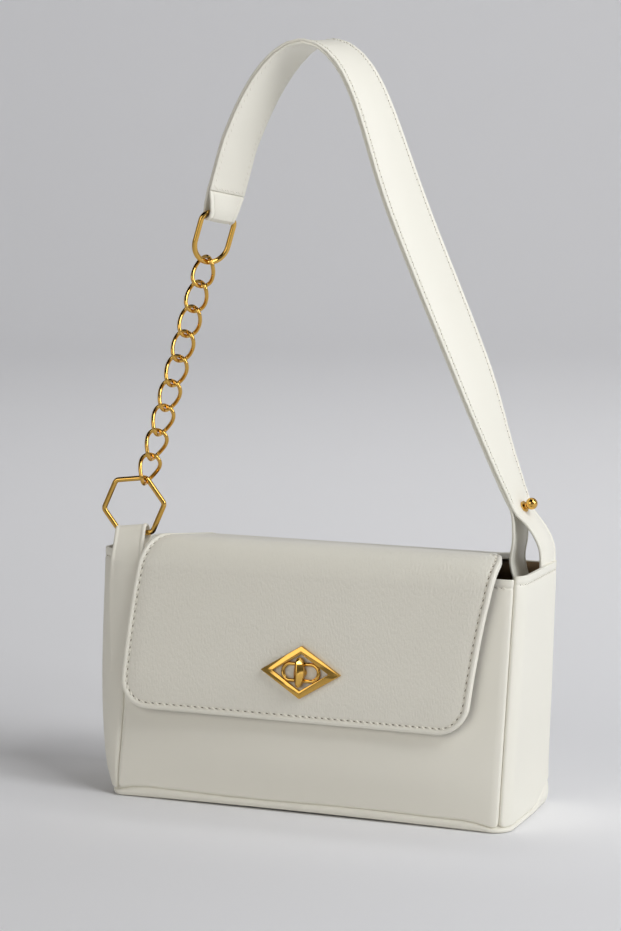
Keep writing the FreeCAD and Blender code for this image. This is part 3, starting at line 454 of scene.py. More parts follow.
def stops_round(first, last):
    """Places to score between two runs: close together where the form turns a corner."""
    marks = [first, last]
    for side in (-1, 1):
        for turn in (FRONT_HALF_RUN, FRONT_HALF_RUN + TURN_RUN + SIDE_RUN):
            for lap in (-WHOLE_RUN, 0, WHOLE_RUN):
                marks += [side * turn + lap, side * (turn + TURN_RUN) + lap]
    marks = sorted(mark for mark in marks if first <= mark <= last)
    stops = []
    for low, high in zip(marks, marks[1:]):
        middle = abs((low + high) / 2) % (WHOLE_RUN / 2)
        on_long_side = middle < FRONT_HALF_RUN or middle > FRONT_HALF_RUN + GUSSET_RUN
        straight = on_long_side or high - low > 2 * TURN_RUN
        stops += spaced(low, high, PANEL_STEP if straight else CORNER_STEP) + [high]
    return stops[:-1]


print("scores round the body:", len(stops_round(-WHOLE_RUN / 2, WHOLE_RUN / 2)))

# %% [markdown]
# ## Seams
#
# The walls are sewn edge to edge and turned. Turning makes each edge roll inwards, so a seam shows as a
# narrow dark groove between two soft rims. That groove could be painted or bumped, but it is a real
# shape here, because it has to catch the light from every side. The seam at the base is a little
# uneven, and the left front seam leans towards the gusset near the floor.

# %% Seam shapes
ROLL = 1.9 * MM
GROOVE_DEPTH = 0.55 * MM
GROOVE_HALF = 0.9 * MM
BASE_SEAM = 6 * MM
SIDE_SEAM = 3.2 * MM
SEAM_WAVE = 0.35 * MM
SEAM_WAVE_LENGTH = 21 * MM
SEAM_CHANGE = 18 * MM
SEAM_FALLS_BEFORE = 14 * MM
SEAM_RISES_BEFORE = 4 * MM
LEFT_SEAM = -FRONT_HALF_RUN - 0.5 * MM
SEAM_LEAN = 3 * MM
SEAM_LEAN_REACH = 30 * MM
SEAM_LEAN_HEIGHT = 60 * MM


def seam_height(run):
    """Height of the seam between the walls and the base: lower at the gussets, a little uneven."""
    run = one_lap(run)
    beside = eased((abs(run) - FRONT_HALF_RUN + SEAM_FALLS_BEFORE) / SEAM_CHANGE)
    beside -= eased((abs(run) - FRONT_HALF_RUN - GUSSET_RUN + SEAM_RISES_BEFORE) / SEAM_CHANGE)
    return between(BASE_SEAM, SIDE_SEAM, beside) + SEAM_WAVE * math.sin(run / SEAM_WAVE_LENGTH)


def leaned(run, height):
    """The run of a point after the left front seam has leaned towards the gusset near the floor."""
    near = 1 - eased(abs(run - LEFT_SEAM) / SEAM_LEAN_REACH)
    return run - SEAM_LEAN * near * max(0, 1 - height / SEAM_LEAN_HEIGHT) ** 2


def roll(distance):
    """How far an edge has rolled in, this far from the seam."""
    if distance >= ROLL:
        return 0
    return ROLL - math.sqrt(max(0, ROLL ** 2 - (ROLL - distance) ** 2))


def groove(distance):
    """How far the thread has pulled the leather in, this far from the stitch line."""
    return GROOVE_DEPTH * math.exp(-(distance / GROOVE_HALF) ** 2)


def margin(x, y, wide, corner):
    """Distance in from the sides and the hem of a cut with round corners at its hem."""
    beside = wide / 2 - abs(x)
    if beside < corner and y < corner:
        return corner - math.hypot(corner - beside, corner - y)
    return min(beside, y)


print("base seam:", [round(seam_height(run * MM) / MM, 1) for run in (0, 60, 130, 160)], "mm high")

# %% [markdown]
# ## Body panels
#
# Front, back and two gussets are 2 mm leather, with their seams on the round corners. The mouth is
# hemmed: a shallow line runs about 5 mm below the edge for its stitches. A stuffed bag could be made by
# cloth simulation, but a panel's fullness is known here, so each one gets it by a formula. The front is
# fullest towards the right, and the gussets are drawn in between their seams.

# %% Panels
LEATHER = 2 * MM
PANEL_RIM = 0.9 * MM
HEM_LINE = 4.8 * MM
PANEL_CORNER = 4 * MM
PANEL_BORDER = (0.25 * MM, 0.3 * MM, 0.4 * MM, 0.5 * MM, 0.6 * MM, 0.8 * MM)
FULL_FROM = 22 * MM
EASES_FROM = 30 * MM
EASES_OVER = 40 * MM
EASES_BY = 0.7
FLAT_AT_MOUTH = 39 * MM


def belly(x, y, wide, top, crown):
    """Share of a panel's fullness at a place: none at its seams, most along the line of its crown."""
    beside = (x - crown) / (math.copysign(wide / 2, x - crown) - crown)
    rising = eased(y / FULL_FROM) * (1 - EASES_BY * eased((y - EASES_FROM) / EASES_OVER))
    return (1 - beside ** 2) * rising * (1 - eased((y - top + FLAT_AT_MOUTH) / FLAT_AT_MOUTH))


def panel(name, first, last, top, sag, crown):
    """One wall of the body, from one seam to the next and from the base seam to the mouth."""
    wide = last - first
    middle = (first + last) / 2
    piece = blank(name, wide, top, PANEL_CORNER)
    border(PANEL_BORDER)
    score(ACROSS, [stop - middle for stop in stops_round(first, last)])
    score(ALONG, spaced(PANEL_CORNER, top - 2 * HEM_LINE, PANEL_STEP))
    score(ALONG, [top - HEM_LINE + step * GROOVE_HALF for step in range(-2, 3)])
    thicken(piece, LEATHER, PANEL_RIM)

    def place(x, y, z):
        seam = seam_height(middle + x)
        sunk = roll(margin(x, y, wide, PANEL_CORNER)) + groove(y - top + HEM_LINE)
        height = seam + y * (top - seam) / top
        full = sag * belly(x, y, wide, top, crown)
        return wall(leaned(middle + x, height), height, z - sunk + full)

    lay(piece, place)
    dress(piece, smooth_leather)
    return piece


RIGHT_SEAM = FRONT_HALF_RUN + 5.8 * MM
BACK_SEAM = FRONT_HALF_RUN + GUSSET_RUN - 6 * MM
GUSSET_TOP = BODY_HEIGHT + 1.8 * MM
# Each row: node, first seam, last seam, height of the mouth, fullness, line of the crown.
PANELS = (
    ("front_panel", LEFT_SEAM, RIGHT_SEAM, BODY_HEIGHT, 4 * MM, 30 * MM),
    ("right_gusset", RIGHT_SEAM, BACK_SEAM, GUSSET_TOP, -1.5 * MM, 0),
    ("back_panel", BACK_SEAM, WHOLE_RUN - BACK_SEAM, BODY_HEIGHT, 1 * MM, 0),
    ("left_gusset", -BACK_SEAM, LEFT_SEAM, GUSSET_TOP, -0.5 * MM, 0),
)
for node_name, first, last, top, sag, crown in PANELS:
    made = panel(node_name + "_leather", first, last, top, sag, crown)
    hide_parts(node_name)
    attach(made, "body")

# %% [markdown]
# ## Base
#
# The base is one piece of leather turned up all round and sewn to the walls. Seen from the side it is a
# narrow band that swells a little below the seam and rolls under. A box with a bevel would give the same
# band everywhere, so a long strip is laid round the form to a profile instead. Its ends are joined and
# the underside is closed. It arches slightly between the corners, and its band grows taller at the back
# corners, where the walls draw up while the base stays on the floor.

# %% Base tray
# Each stop of the profile: distance out from the form in mm, share of the seam's height.
BASE_PROFILE = (
    (-2.4, 2.2), (-2.1, 1.2), (-1.4, 1.03), (-0.7, 0.94), (-0.15, 0.8), (0.15, 0.6),
    (0.1, 0.4), (-0.35, 0.22), (-1.2, 0.09), (-2.4, 0.02), (-3.4, 0.0), (-4.3, 0.06),
)
ARCH = 1.2 * MM
PROFILE_STEP = 1 * MM
BASE_LAYER = 1.2 * MM
UNDERSIDE_IN = 8 * MM
WELD = 0.05 * MM


def close_ring(piece, test, inside=False):
    """Joins the ends of a strip that goes right round, and closes the opening that passes the test."""
    bpy.ops.object.mode_set(mode="EDIT")
    whole()
    bpy.ops.mesh.remove_doubles(threshold=WELD)
    select(piece, "edges", lambda edge: edge.is_boundary and all(test(vert.co) for vert in edge.verts))
    bpy.ops.mesh.edge_face_add()
    face_out(inside)


def on_base(x, y, z):
    out, share = BASE_PROFILE[round(y / PROFILE_STEP)]
    arch = ARCH * (1 - (plan(x, 0).x / BASE_HALF) ** 2) * (1 - share) if share < 1 else 0
    spot = wall(x, max(0, share * seam_height(x) + arch), out * MM, min(1, share))
    spot.z = max(0, spot.z)
    return spot


def under_base(spot):
    inside = FRONT_AT_BASE + UNDERSIDE_IN < spot.y < BACK - UNDERSIDE_IN
    return inside and abs(spot.x) < BASE_HALF - UNDERSIDE_IN


base = blank("base_leather", WHOLE_RUN, PROFILE_STEP * (len(BASE_PROFILE) - 1))
score(ACROSS, stops_round(-WHOLE_RUN / 2, WHOLE_RUN / 2))
score(ALONG, [PROFILE_STEP * k for k in range(1, len(BASE_PROFILE) - 1)])
clear()
lay(base, on_base)
close_ring(base, under_base)
finish_with(base, "SOLIDIFY", thickness=BASE_LAYER, offset=-1)
dress(base, smooth_leather)
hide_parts("base_panel")
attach(base, "body")

# %% [markdown]
# ## Lining
#
# Inside, the walls and floor are lined with brown suede glued to the leather. It could be the inner side
# of each panel, but then the seams would show inside too. So it is one long strip laid round the inside
# of the form, meeting the leather at the mouth, and closed with a floor.

# %% Suede lining
LINING_AT_MOUTH = -2.1 * MM
LINING_INSIDE = -4.3 * MM
LINING_TUCK = 8 * MM
LINING_FLOOR = 5 * MM
LINING_LAYER = 1 * MM
LINING_LONG = BODY_HEIGHT - 0.6 * MM - LINING_FLOOR


def on_lining(x, y, z):
    tucked = min(1, (LINING_LONG - y) / LINING_TUCK)
    return wall(x, LINING_FLOOR + y, between(LINING_AT_MOUTH, LINING_INSIDE, tucked))


lining = blank("lining_suede", WHOLE_RUN, LINING_LONG)
score(ACROSS, stops_round(-WHOLE_RUN / 2, WHOLE_RUN / 2))
score(ALONG, spaced(0, LINING_LONG - LINING_TUCK, 3 * PANEL_STEP) + [LINING_LONG - LINING_TUCK])
clear()
lay(lining, on_lining)
close_ring(lining, lambda spot: spot.z < BODY_HEIGHT / 2, inside=True)
finish_with(lining, "SOLIDIFY", thickness=LINING_LAYER, offset=1)
dress(lining, suede)
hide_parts("lining_front", "lining_back", "lining_left", "lining_right", "lining_base")
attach(lining, "body")
dress(frame["nodes"]["base_board"], board)

# %% [markdown]
# ## Lines to follow
#
# Two kinds of line carry the other flat cuts. A trail is a walk in one plane, straight or turning at an
# even rate, and suits the flap, whose bends are parts of circles. A route is a smooth line in space
# through chosen rows, each with the direction of the strap's width and the width itself, for the strap
# and the tab. Blender's curves could carry them too, but here the twist at every row is given.

# %% Trails


def step_of(heading, length, turn, gone):
    """Where a walk leads from its start after going some way along one leg."""
    if not turn:
        return Vector((math.cos(heading), math.sin(heading))) * gone
    radius = length / turn
    later = heading + turn * gone / length
    return Vector((math.sin(later) - math.sin(heading), math.cos(heading) - math.cos(later))) * radius


def trail(start, heading, legs):
    """Walk in the plane of y and z. Each leg is its length and the angle it turns through."""
    marks = []
    place, walked = Vector(start), 0
    for length, turn in legs:
        marks.append((walked, place.copy(), heading, length, turn))
        place = place + step_of(heading, length, turn, length)
        heading += turn
        walked += length

    def at(run):
        begun, spot, facing, length, turn = next(
            (mark for mark in marks if run <= mark[0] + mark[3]), marks[-1])
        gone = run - begun
        return spot + step_of(facing, length, turn, gone), facing + turn * gone / length

    return at


quarter = step_of(0, math.pi / 2, math.pi / 2, math.pi / 2)
print("a quarter turn of radius 1 ends at", [round(side, 3) for side in quarter])

# %% [markdown]
# ### Routes
#
# A route goes through its rows by Bezier arcs, which Blender works out. It is then cut into short steps
# and looked up by its length, so that a flat cut keeps its length along it. Where a strap is trimmed
# narrower, its edges keep their margins and only the middle gives.

# %% Routes
from mathutils.geometry import interpolate_bezier

ROUTE_STEPS = 16
EDGE_KEPT = 5 * MM


def route(rows):
    """Smooth line through rows of centre, width direction and width, with a look-up by length."""
    points, sides, widths = [], [], []
    last = len(rows) - 1
    for i in range(last):
        before, here, after, beyond = (rows[min(max(k, 0), last)] for k in range(i - 1, i + 3))
        reach = (after[0] - here[0]).length / 3
        leave = here[0] + (after[0] - before[0]).normalized() * reach
        arrive = after[0] - (beyond[0] - here[0]).normalized() * reach
        arc = interpolate_bezier(here[0], leave, arrive, after[0], ROUTE_STEPS + 1)
        for k, point in enumerate(arc):
            if k == ROUTE_STEPS and i < last - 1:
                continue
            part = eased(k / ROUTE_STEPS)
            points.append(point)
            sides.append(here[1].lerp(after[1], part))
            widths.append(between(here[2], after[2], part))
    lengths = [0]
    for earlier, later in zip(points, points[1:]):
        lengths.append(lengths[-1] + (later - earlier).length)

    def at(run):
        low = next((k for k in range(1, len(lengths) - 1) if lengths[k] > run), len(lengths) - 1) - 1
        share = (run - lengths[low]) / (lengths[low + 1] - lengths[low])
        ends = []
        for k in (low, low + 1):
            ends.append((points[min(k + 1, len(points) - 1)] - points[max(k - 1, 0)]).normalized())
        tangent = ends[0].lerp(ends[1], share).normalized()
        side = sides[low].lerp(sides[low + 1], share)
        side = (side - tangent * side.dot(tangent)).normalized()
        width = between(widths[low], widths[low + 1], share)
        return points[low].lerp(points[low + 1], share), side, side.cross(tangent), width

    return at, lengths[-1]


def fit_across(x, wide, width):
    """Place across a cut that has been trimmed to another width: its edges keep their margins."""
    edge = wide / 2 - abs(x)
    if edge < EDGE_KEPT:
        return math.copysign(width / 2 - edge, x)
    return x * (width / 2 - EDGE_KEPT) / (wide / 2 - EDGE_KEPT)


print("4 mm from the middle, 31 mm trimmed to 24 mm:", round(fit_across(4, 31, 24), 1), "mm")

# %% [markdown]
# ## Stitches
#
# A lock stitch shows as a short, slanted grain of thread that dips into a hole at each end. A texture
# would look flat from the side, so one stitch is modelled, with a flat dark grain of painted shade where
# its hole is. It is repeated in a straight row by an array, and the row is then laid like leather. The
# mouth of the body has the first rows, in fine thread.

# %% One stitch and its rows
STITCH_PITCH = 4.2 * MM
STITCH_SLANT = math.radians(32)
BEAD_WIDE = 1.05 * MM
BEAD_HIGH = 1.2 * MM
BEAD_UP = 0.15 * MM
BEAD_SHARE = 0.68
HOLE_SHARE = 0.5
HOLE_HIGH = 0.24 * MM


def grain_of(name, size, place):
    """A flattened, slanted bead: the thread, or the dark mark of painted shade where it dips into its hole.
    """
    clear()
    bpy.ops.mesh.primitive_uv_sphere_add(
        segments=8, ring_count=5, radius=0.5, rotation=(math.pi / 2, 0, 0))
    bpy.ops.object.transform_apply(location=False, rotation=True, scale=False)
    piece = named(name)
    whole()
    bpy.ops.transform.resize(value=size)
    bpy.ops.transform.rotate(value=STITCH_SLANT, orient_axis="Z", center_override=(0, 0, 0))
    bpy.ops.transform.translate(value=place)
    clear()
    dress(piece, thread, painted_hole_shade)
    return piece


def stitch_row(name, length, place, pitch=STITCH_PITCH, weight=1.0):
    """A row of stitches along y from 0 to its length, laid by the place function."""
    count = max(2, round(length / pitch))
    step = length / count
    bead_size = (BEAD_WIDE * weight, BEAD_SHARE * step, BEAD_HIGH * weight)
    hole_size = (BEAD_WIDE * weight, HOLE_SHARE * step * weight, HOLE_HIGH)
    bead = grain_of(name, bead_size, (0, step / 2, BEAD_UP))
    # The hole is a flat grain of painted shade: it takes the second, dark material, for the shade inside
    # the needle hole.
    hole = grain_of(name + "_hole", hole_size, (0, step, 0))
    for face in hole.data.polygons:
        face.material_index = 1
    bead.select_set(True)
    hole.select_set(True)
    bpy.context.view_layer.objects.active = bead
    bpy.ops.object.join()
    finish_with(bead, "ARRAY", count=count, use_relative_offset=False, use_constant_offset=True,
                constant_offset_displace=(0, step, 0))
    lay(bead, place)
    return bead


def sew(row, body):
    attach(row, body)


HEM_PITCH = 3.6 * MM
FINE = 0.55
for node_name, first, last, top, sag, crown in PANELS:

    def on_hem(x, y, z):
        return wall(last - 2 * ROLL - y, top - HEM_LINE + x, z - GROOVE_DEPTH)

    hem = stitch_row(node_name + "_hem_stitches", last - first - 4 * ROLL, on_hem, HEM_PITCH, FINE)
    sew(hem, "body")

# %% [markdown]
# ## Flap
#
# One skin covers the top and comes down the front. It is laid on a trail that starts at the front hem,
# goes up parallel to the leaning front, turns over a wide bend, runs back across the top and turns down
# on the back panel. It hangs a little askew, so its left and right edges are given apart, as smooth
# lines through a few stops.

# %% Flap trail and outline
LEAN = math.atan2(FRONT_AT_MOUTH - FRONT_AT_BASE, BODY_HEIGHT)
FLAP_HEM = Vector((-45 * MM, 53 * MM))
FLAP_FRONT_RUN = 80.85 * MM
FLAP_BEND_RADIUS = 19.3 * MM
TOP_FALL = math.radians(7.43)
BEND_TURN = -(math.pi / 2 - LEAN + TOP_FALL)
BEND_RUN = -BEND_TURN * FLAP_BEND_RADIUS
BEND_END = FLAP_FRONT_RUN + BEND_RUN
TOP_RUN = 55.1 * MM
REAR_TURN = -(math.pi / 2 - TOP_FALL)
REAR_RADIUS = 5 * MM
REAR_RUN = -REAR_TURN * REAR_RADIUS
APRON_RUN = 22 * MM
FLAP_RUN = BEND_END + TOP_RUN + REAR_RUN + APRON_RUN
FLAP_WIDE = 212 * MM
# Each stop: run from the hem and reach to that side, in mm.
FLAP_REACH = {
    -1: ((0, 113.5), (30, 112), (62, 109), (80, 106.5), (92, 104), (102, 101), (112, 97.5),
         (125, 96), (200, 96)),
    1: ((0, 99), (30, 102), (62, 106.5), (80, 110), (92, 111.5), (102, 111.5), (112, 108),
        (124, 100.5), (140, 96), (200, 96)),
}
flap_trail = trail(FLAP_HEM, math.pi / 2 - LEAN, [
    (FLAP_FRONT_RUN, 0), (BEND_RUN, BEND_TURN), (TOP_RUN, 0), (REAR_RUN, REAR_TURN), (APRON_RUN, 0)])


def flap_reach(side, run):
    """How far the flap reaches to one side, at a run from its hem: a smooth line through the stops."""
    stops = FLAP_REACH[side]
    last = len(stops) - 1
    low = next((k for k in range(last - 1) if run / MM < stops[k + 1][0]), last - 1)
    before, here, after, beyond = (stops[min(max(k, 0), last)] for k in range(low - 1, low + 3))
    span = after[0] - here[0]
    share = (run / MM - here[0]) / span
    leaving = (after[1] - before[1]) / max(SMALL, after[0] - before[0]) * span
    coming = (beyond[1] - here[1]) / max(SMALL, beyond[0] - here[0]) * span
    square, cube = share ** 2, share ** 3
    return MM * ((2 * cube - 3 * square + 1) * here[1] + (cube - 2 * square + share) * leaving
                 + (3 * square - 2 * cube) * after[1] + (cube - square) * coming)


def on_flap(x, y, z):
    spot, facing = flap_trail(y)
    out = Vector((-math.sin(facing), math.cos(facing)))
    across = fit_across(x, FLAP_WIDE, 2 * flap_reach(-1 if x < 0 else 1, y))
    return Vector((across, spot.x + out.x * z, spot.y + out.y * z))


def on_rear(x, y, z):
    return on_flap(-x, FLAP_RUN - y, z)


print("flap from hem to apron:", round(FLAP_RUN / MM), "mm")

# %% [markdown]
# ### Flap skin
#
# The flap turns at two folds, one at the back and one at the front bend. One cut could only be shared
# between two bodies, so it is made in two parts that meet on the top, one for each fold. The border is a
# turned rim of smooth leather with a stitch row inside it, and the underside is suede.

# %% Flap parts
FLAP_THICK = 3.3 * MM
FLAP_CORNER = 17 * MM
MEET_RUN = BEND_END + 0.5 * TOP_RUN
STITCH_INSET = 3.4 * MM
RIM_RISE = 0.5 * MM
RIM_CREST = 0.45
RIM_FALL = 5
FLAP_EDGE = 1.4 * MM
FLAP_EDGE_STEPS = 5
BORDER = tuple(inset * MM for inset in (0.5, 0.5, 0.6, 0.6, 0.5, 0.5, 0.5, 0.6, 1.0))
FLAP_STEP = 4 * MM
FLAP_SCORE = 12 * MM
BEND_STEP = 1.5 * MM
REAR_STEP = 0.7 * MM
TRIM = 20 * MM
FACES_DOWN = -0.5
FACES_END = 0.9


def flap_skin(face):
    """Which material a face of the flat flap takes: suede below, smooth on the rim, grained between."""
    if face.normal.z < FACES_DOWN:
        return 1
    inset = margin(face.center.x, face.center.y, FLAP_WIDE, FLAP_CORNER)
    return 2 if inset < STITCH_INSET else 0


def flap_part(name, long, turns, place):
    """One part of the flap: cut too long, trimmed where the parts meet, lined and laid."""
    piece = blank(name, FLAP_WIDE, long + TRIM, FLAP_CORNER)
    border(BORDER)
    score(ACROSS, spaced(-FLAP_WIDE / 2, FLAP_WIDE / 2, FLAP_SCORE))
    for low, high, step in turns:
        score(ALONG, spaced(low, high, step) + [high])
    whole()
    bpy.ops.mesh.bisect(plane_co=(0, long, 0), plane_no=(0, 1, 0), clear_outer=True)
    finish_with(piece, "SOLIDIFY", thickness=FLAP_THICK, offset=-1)
    bpy.ops.object.mode_set(mode="EDIT")
    select(piece, "faces", lambda face: face.normal.y > FACES_END)
    bpy.ops.mesh.delete(type="FACE")
    round_edges(piece, FLAP_EDGE, FLAP_EDGE_STEPS)
    dress(piece, grained_leather, suede, smooth_leather)
    for face in piece.data.polygons:
        face.material_index = flap_skin(face)

    def formed(x, y, z):
        if z < -FLAP_THICK / 2:
            return place(x, y, z)
        inset = margin(x, y, FLAP_WIDE, FLAP_CORNER)
        rim = RIM_RISE * max(0, 1 - (inset / STITCH_INSET - RIM_CREST) ** 2 * RIM_FALL)
        return place(x, y, z + rim - groove(inset - STITCH_INSET))

    lay(piece, formed)
    return piece


flap_front = flap_part("flap_front_skin", MEET_RUN, (
    (FLAP_CORNER, FLAP_FRONT_RUN, FLAP_STEP * 1.5), (FLAP_FRONT_RUN, BEND_END, BEND_STEP),
    (BEND_END, MEET_RUN - SMALL, FLAP_STEP)), on_flap)
flap_rear = flap_part("flap_rear_skin", FLAP_RUN - MEET_RUN, (
    (FLAP_CORNER, APRON_RUN, FLAP_STEP), (APRON_RUN, APRON_RUN + REAR_RUN, REAR_STEP),
    (APRON_RUN + REAR_RUN, FLAP_RUN - MEET_RUN - SMALL, FLAP_STEP)), on_rear)

# %% [markdown]
# ### Flap stitches
#
# The stitch row follows the outline: down one side, round the corner, along the hem and up again.

# %% Flap seams
SEAM_HALF = FLAP_WIDE / 2 - STITCH_INSET
SEAM_CORNER = FLAP_CORNER - STITCH_INSET
SEAM_ARC = SEAM_CORNER * math.pi / 2
SEAM_HEM = 2 * (SEAM_HALF - SEAM_CORNER)
CORNER_AT = Vector((SEAM_HALF - SEAM_CORNER, STITCH_INSET + SEAM_CORNER))


def outline_point(run, top):
    """Place and left-hand direction on the stitch line, from one side's top round to the other's."""
    side = top - STITCH_INSET - SEAM_CORNER
    if run <= side:
        return Vector((-SEAM_HALF, top - run)), Vector((1, 0))
    run -= side
    if run <= SEAM_ARC:
        angle = run / SEAM_CORNER
        inward = Vector((math.cos(angle), math.sin(angle)))
        return Vector((-CORNER_AT.x, CORNER_AT.y)) - inward * SEAM_CORNER, inward
    run -= SEAM_ARC
    if run <= SEAM_HEM:
        return Vector((-CORNER_AT.x + run, STITCH_INSET)), Vector((0, 1))
    run -= SEAM_HEM
    if run <= SEAM_ARC:
        angle = run / SEAM_CORNER
        inward = Vector((-math.sin(angle), math.cos(angle)))
        return CORNER_AT - inward * SEAM_CORNER, inward
    run -= SEAM_ARC
    return Vector((SEAM_HALF, CORNER_AT.y + run)), Vector((-1, 0))


def outline_row(name, top, place):
    """Stitches round the outline of a flap part, up to its trimmed end."""
    length = 2 * (top - STITCH_INSET - SEAM_CORNER) + 2 * SEAM_ARC + SEAM_HEM

    def along(x, y, z):
        spot, inward = outline_point(y, top)
        spot = spot - inward * x
        return place(spot.x, spot.y, z - GROOVE_DEPTH)

    return stitch_row(name, length, along)


front_stitches = outline_row("flap_front_stitches", MEET_RUN, on_flap)
rear_stitches = outline_row("flap_rear_stitches", FLAP_RUN - MEET_RUN, on_rear)
for piece in (flap_front, front_stitches):
    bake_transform(piece)
for piece in (flap_rear, rear_stitches):
    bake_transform(piece)
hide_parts("flap_front_leather", "flap_front_lining")
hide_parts("flap_top_leather", "flap_top_lining")

# %% [markdown]
# ## Strap
#
# Two layers of leather lie back to back. They part below the ball stud into two legs sewn inside the
# right gusset, and over the shoulder they run together to the oblong ring. The arch is stiff enough to
# stand, and it twists a little on its way. It could be drawn as a curve by hand, but rows given as shares
# of the way from its foot to its top keep their shape if the bag's size changes. The rows are smoothed
# so that no kink shows between them.

# %% Strap line
STUD = Vector((107, 22.5, 172)) * MM
APEX = Vector((-9, 0, 436)) * MM
RING_BAR = Vector((-66.504, -5.329, 334.683)) * MM
STRAP_WIDE = 31 * MM
STRAP_TURN = math.radians(30)
# Each row: share of the way across to the apex, of the way up, of the width, of the turn.
RIGHT_LEG_SHARES = (
    (0.0, 0.0, 0.78, 0.17), (0.095, 0.104, 0.84, 0.45), (0.233, 0.277, 0.98, 0.8),
    (0.392, 0.448, 1.0, 0.87), (0.588, 0.662, 1.0, 0.87), (0.753, 0.877, 0.86, 0.87),
    (0.856, 0.962, 0.82, 0.87), (1.0, 1.0, 0.81, 0.87),
)
LEFT_LEG_SHARES = (
    (0.796, 0.955, 0.82, 0.9), (0.502, 0.766, 0.84, 0.95), (0.268, 0.499, 0.82, 1.0),
    (0.089, 0.228, 0.78, 1.1),
)
ARCH_ROWS = 44
ARCH_SMOOTHING = 5


def strap_row(foot, across_share, up_share, width_share, turn_share):
    """Centre, width direction and width of the strap at one place of a leg."""
    x = between(foot.x, APEX.x, across_share)
    z = between(foot.z, APEX.z, up_share)
    y = between(STUD.y, RING_BAR.y, (STUD.x - x) / (STUD.x - RING_BAR.x))
    turn = STRAP_TURN * turn_share
    return (Vector((x, y, z)), Vector((math.sin(turn), math.cos(turn), 0)), STRAP_WIDE * width_share)


def smoothed(rows):
    """The rows with each inner one drawn towards its neighbours."""
    inner = []
    for before, here, after in zip(rows, rows[1:], rows[2:]):
        spot, side, width = ((before[k] + 2 * here[k] + after[k]) / 4 for k in (0, 1, 3))
        inner.append((spot, side, here[2], width))
    return [rows[0]] + inner + [rows[-1]]


strap_rows = [strap_row(STUD, *shares) for shares in RIGHT_LEG_SHARES]
strap_rows += [strap_row(RING_BAR, *shares) for shares in LEFT_LEG_SHARES]
drawn_at, drawn_run = route(strap_rows)
arch = [drawn_at(drawn_run * k / ARCH_ROWS) for k in range(ARCH_ROWS + 1)]
for again in range(ARCH_SMOOTHING):
    arch = smoothed(arch)
print("strap from stud to ring:", round(drawn_run / MM), "mm")

# %% [markdown]
# ### Strap legs and fold
#
# The outer layer starts inside the gusset, bows out to the stud, follows the arch and turns round the
# ring's bar. The inner layer starts beside it, stands clear of the lining in an S, joins it at the stud
# and ends on the turned-back end. Each is a route of its own, so that the two can part and meet.

# %% Strap routes
LAYER_OFFSET = 0.9 * MM
FOLD_WIDE = 17.4 * MM
SPREAD_WIDE = 23.4 * MM
FOLD_RADIUS = 4.15 * MM
FOLD_STEPS = 8
FOLD_TWIST = math.radians(45)
TURN_BACK = 12.5 * MM
NEAR_FOLD = TURN_BACK / 2
LEAD = TURN_BACK + 8 * MM
LEAD_OUT = 1.1 * LAYER_OFFSET
END_OUT = 1.5 * LAYER_OFFSET
NEAR_OUT = LAYER_OFFSET + FOLD_RADIUS / 2
CHAIN_UP = Vector((0.2768, 0.0466, 0.9598))
LINK_SIDE = Vector((0.9459, 0.1593, -0.2807))
fold_side = (Matrix.Rotation(FOLD_TWIST, 3, CHAIN_UP) @ LINK_SIDE).normalized()
fold_out = fold_side.cross(-CHAIN_UP).normalized()
# Each row of a leg: x, y, z and width, in mm.
OUTER_LEG = (
    (121.2, 23, 100, 20), (121.5, 24, 122, 22), (121.75, 26, 141, 24),
    (121.2, 26, 150, 24), (117.6, 25.2, 158.5, 24), (112.4, 23.8, 166, 24),
)
INNER_LEG = (
    (119.3, 22.6, 100, 20), (116, 22.8, 114, 21), (108.5, 23.4, 128, 23),
    (104.6, 23.6, 142, 24), (106.2, 23.4, 154, 24), (106.3, 23, 164, 24),
)


def leg_rows(points):
    return [(Vector(point) * MM, ALONG, width * MM) for *point, width in points]


def arch_rows(sign):
    """Rows of one layer over the arch."""
    rows = []
    for k, (spot, side, out, width) in enumerate(arch[:-2]):
        heading = (arch[min(k + 1, ARCH_ROWS)][0] - arch[max(k - 1, 0)][0]).normalized()
        rows.append((spot + side.cross(heading).normalized() * LAYER_OFFSET * sign, side, width))
    return rows


def fold_row(up, out):
    width = between(FOLD_WIDE, SPREAD_WIDE, min(1, max(0, up / TURN_BACK)))
    return (RING_BAR + CHAIN_UP * up + fold_out * out, fold_side, width)


fold_rows = [fold_row(LEAD, LEAD_OUT), fold_row(TURN_BACK, END_OUT), fold_row(NEAR_FOLD, NEAR_OUT)]
for k in range(FOLD_STEPS + 1):
    angle = math.pi * k / FOLD_STEPS
    fold_rows.append(fold_row(-FOLD_RADIUS * math.sin(angle), FOLD_RADIUS * math.cos(angle)))
fold_rows += [fold_row(NEAR_FOLD, -NEAR_OUT), fold_row(TURN_BACK, -END_OUT)]
inner_end = [fold_row(LEAD, -LEAD_OUT), fold_row(TURN_BACK + 0.2 * MM, -END_OUT)]
outer_at, outer_run = route(leg_rows(OUTER_LEG) + arch_rows(1) + fold_rows)
inner_at, inner_run = route(leg_rows(INNER_LEG) + arch_rows(-1) + inner_end)
print("strap layers:", round(outer_run / MM), "and", round(inner_run / MM), "mm long")

# %% [markdown]
# ### Strap layers and their stitches
#
# Each layer is a long strip with a pulled-in line beside both edges for its stitches, and a row of
# stitches crosses the turned-back end.

# %% Strap layers
STRAP_LAYER = 1.7 * MM
STRAP_RIM = 0.72 * MM
STRAP_MARGIN = 2.4 * MM
STRAP_STEP = 3 * MM
STRAP_SCORE = 0.6 * MM
PULL_SHARE = 0.7
PULL_NARROW = 1.6
SEWN_IN = 0.25 * MM
END_ROW_IN = 1.6 * MM
END_SEWN_IN = 0.1 * MM


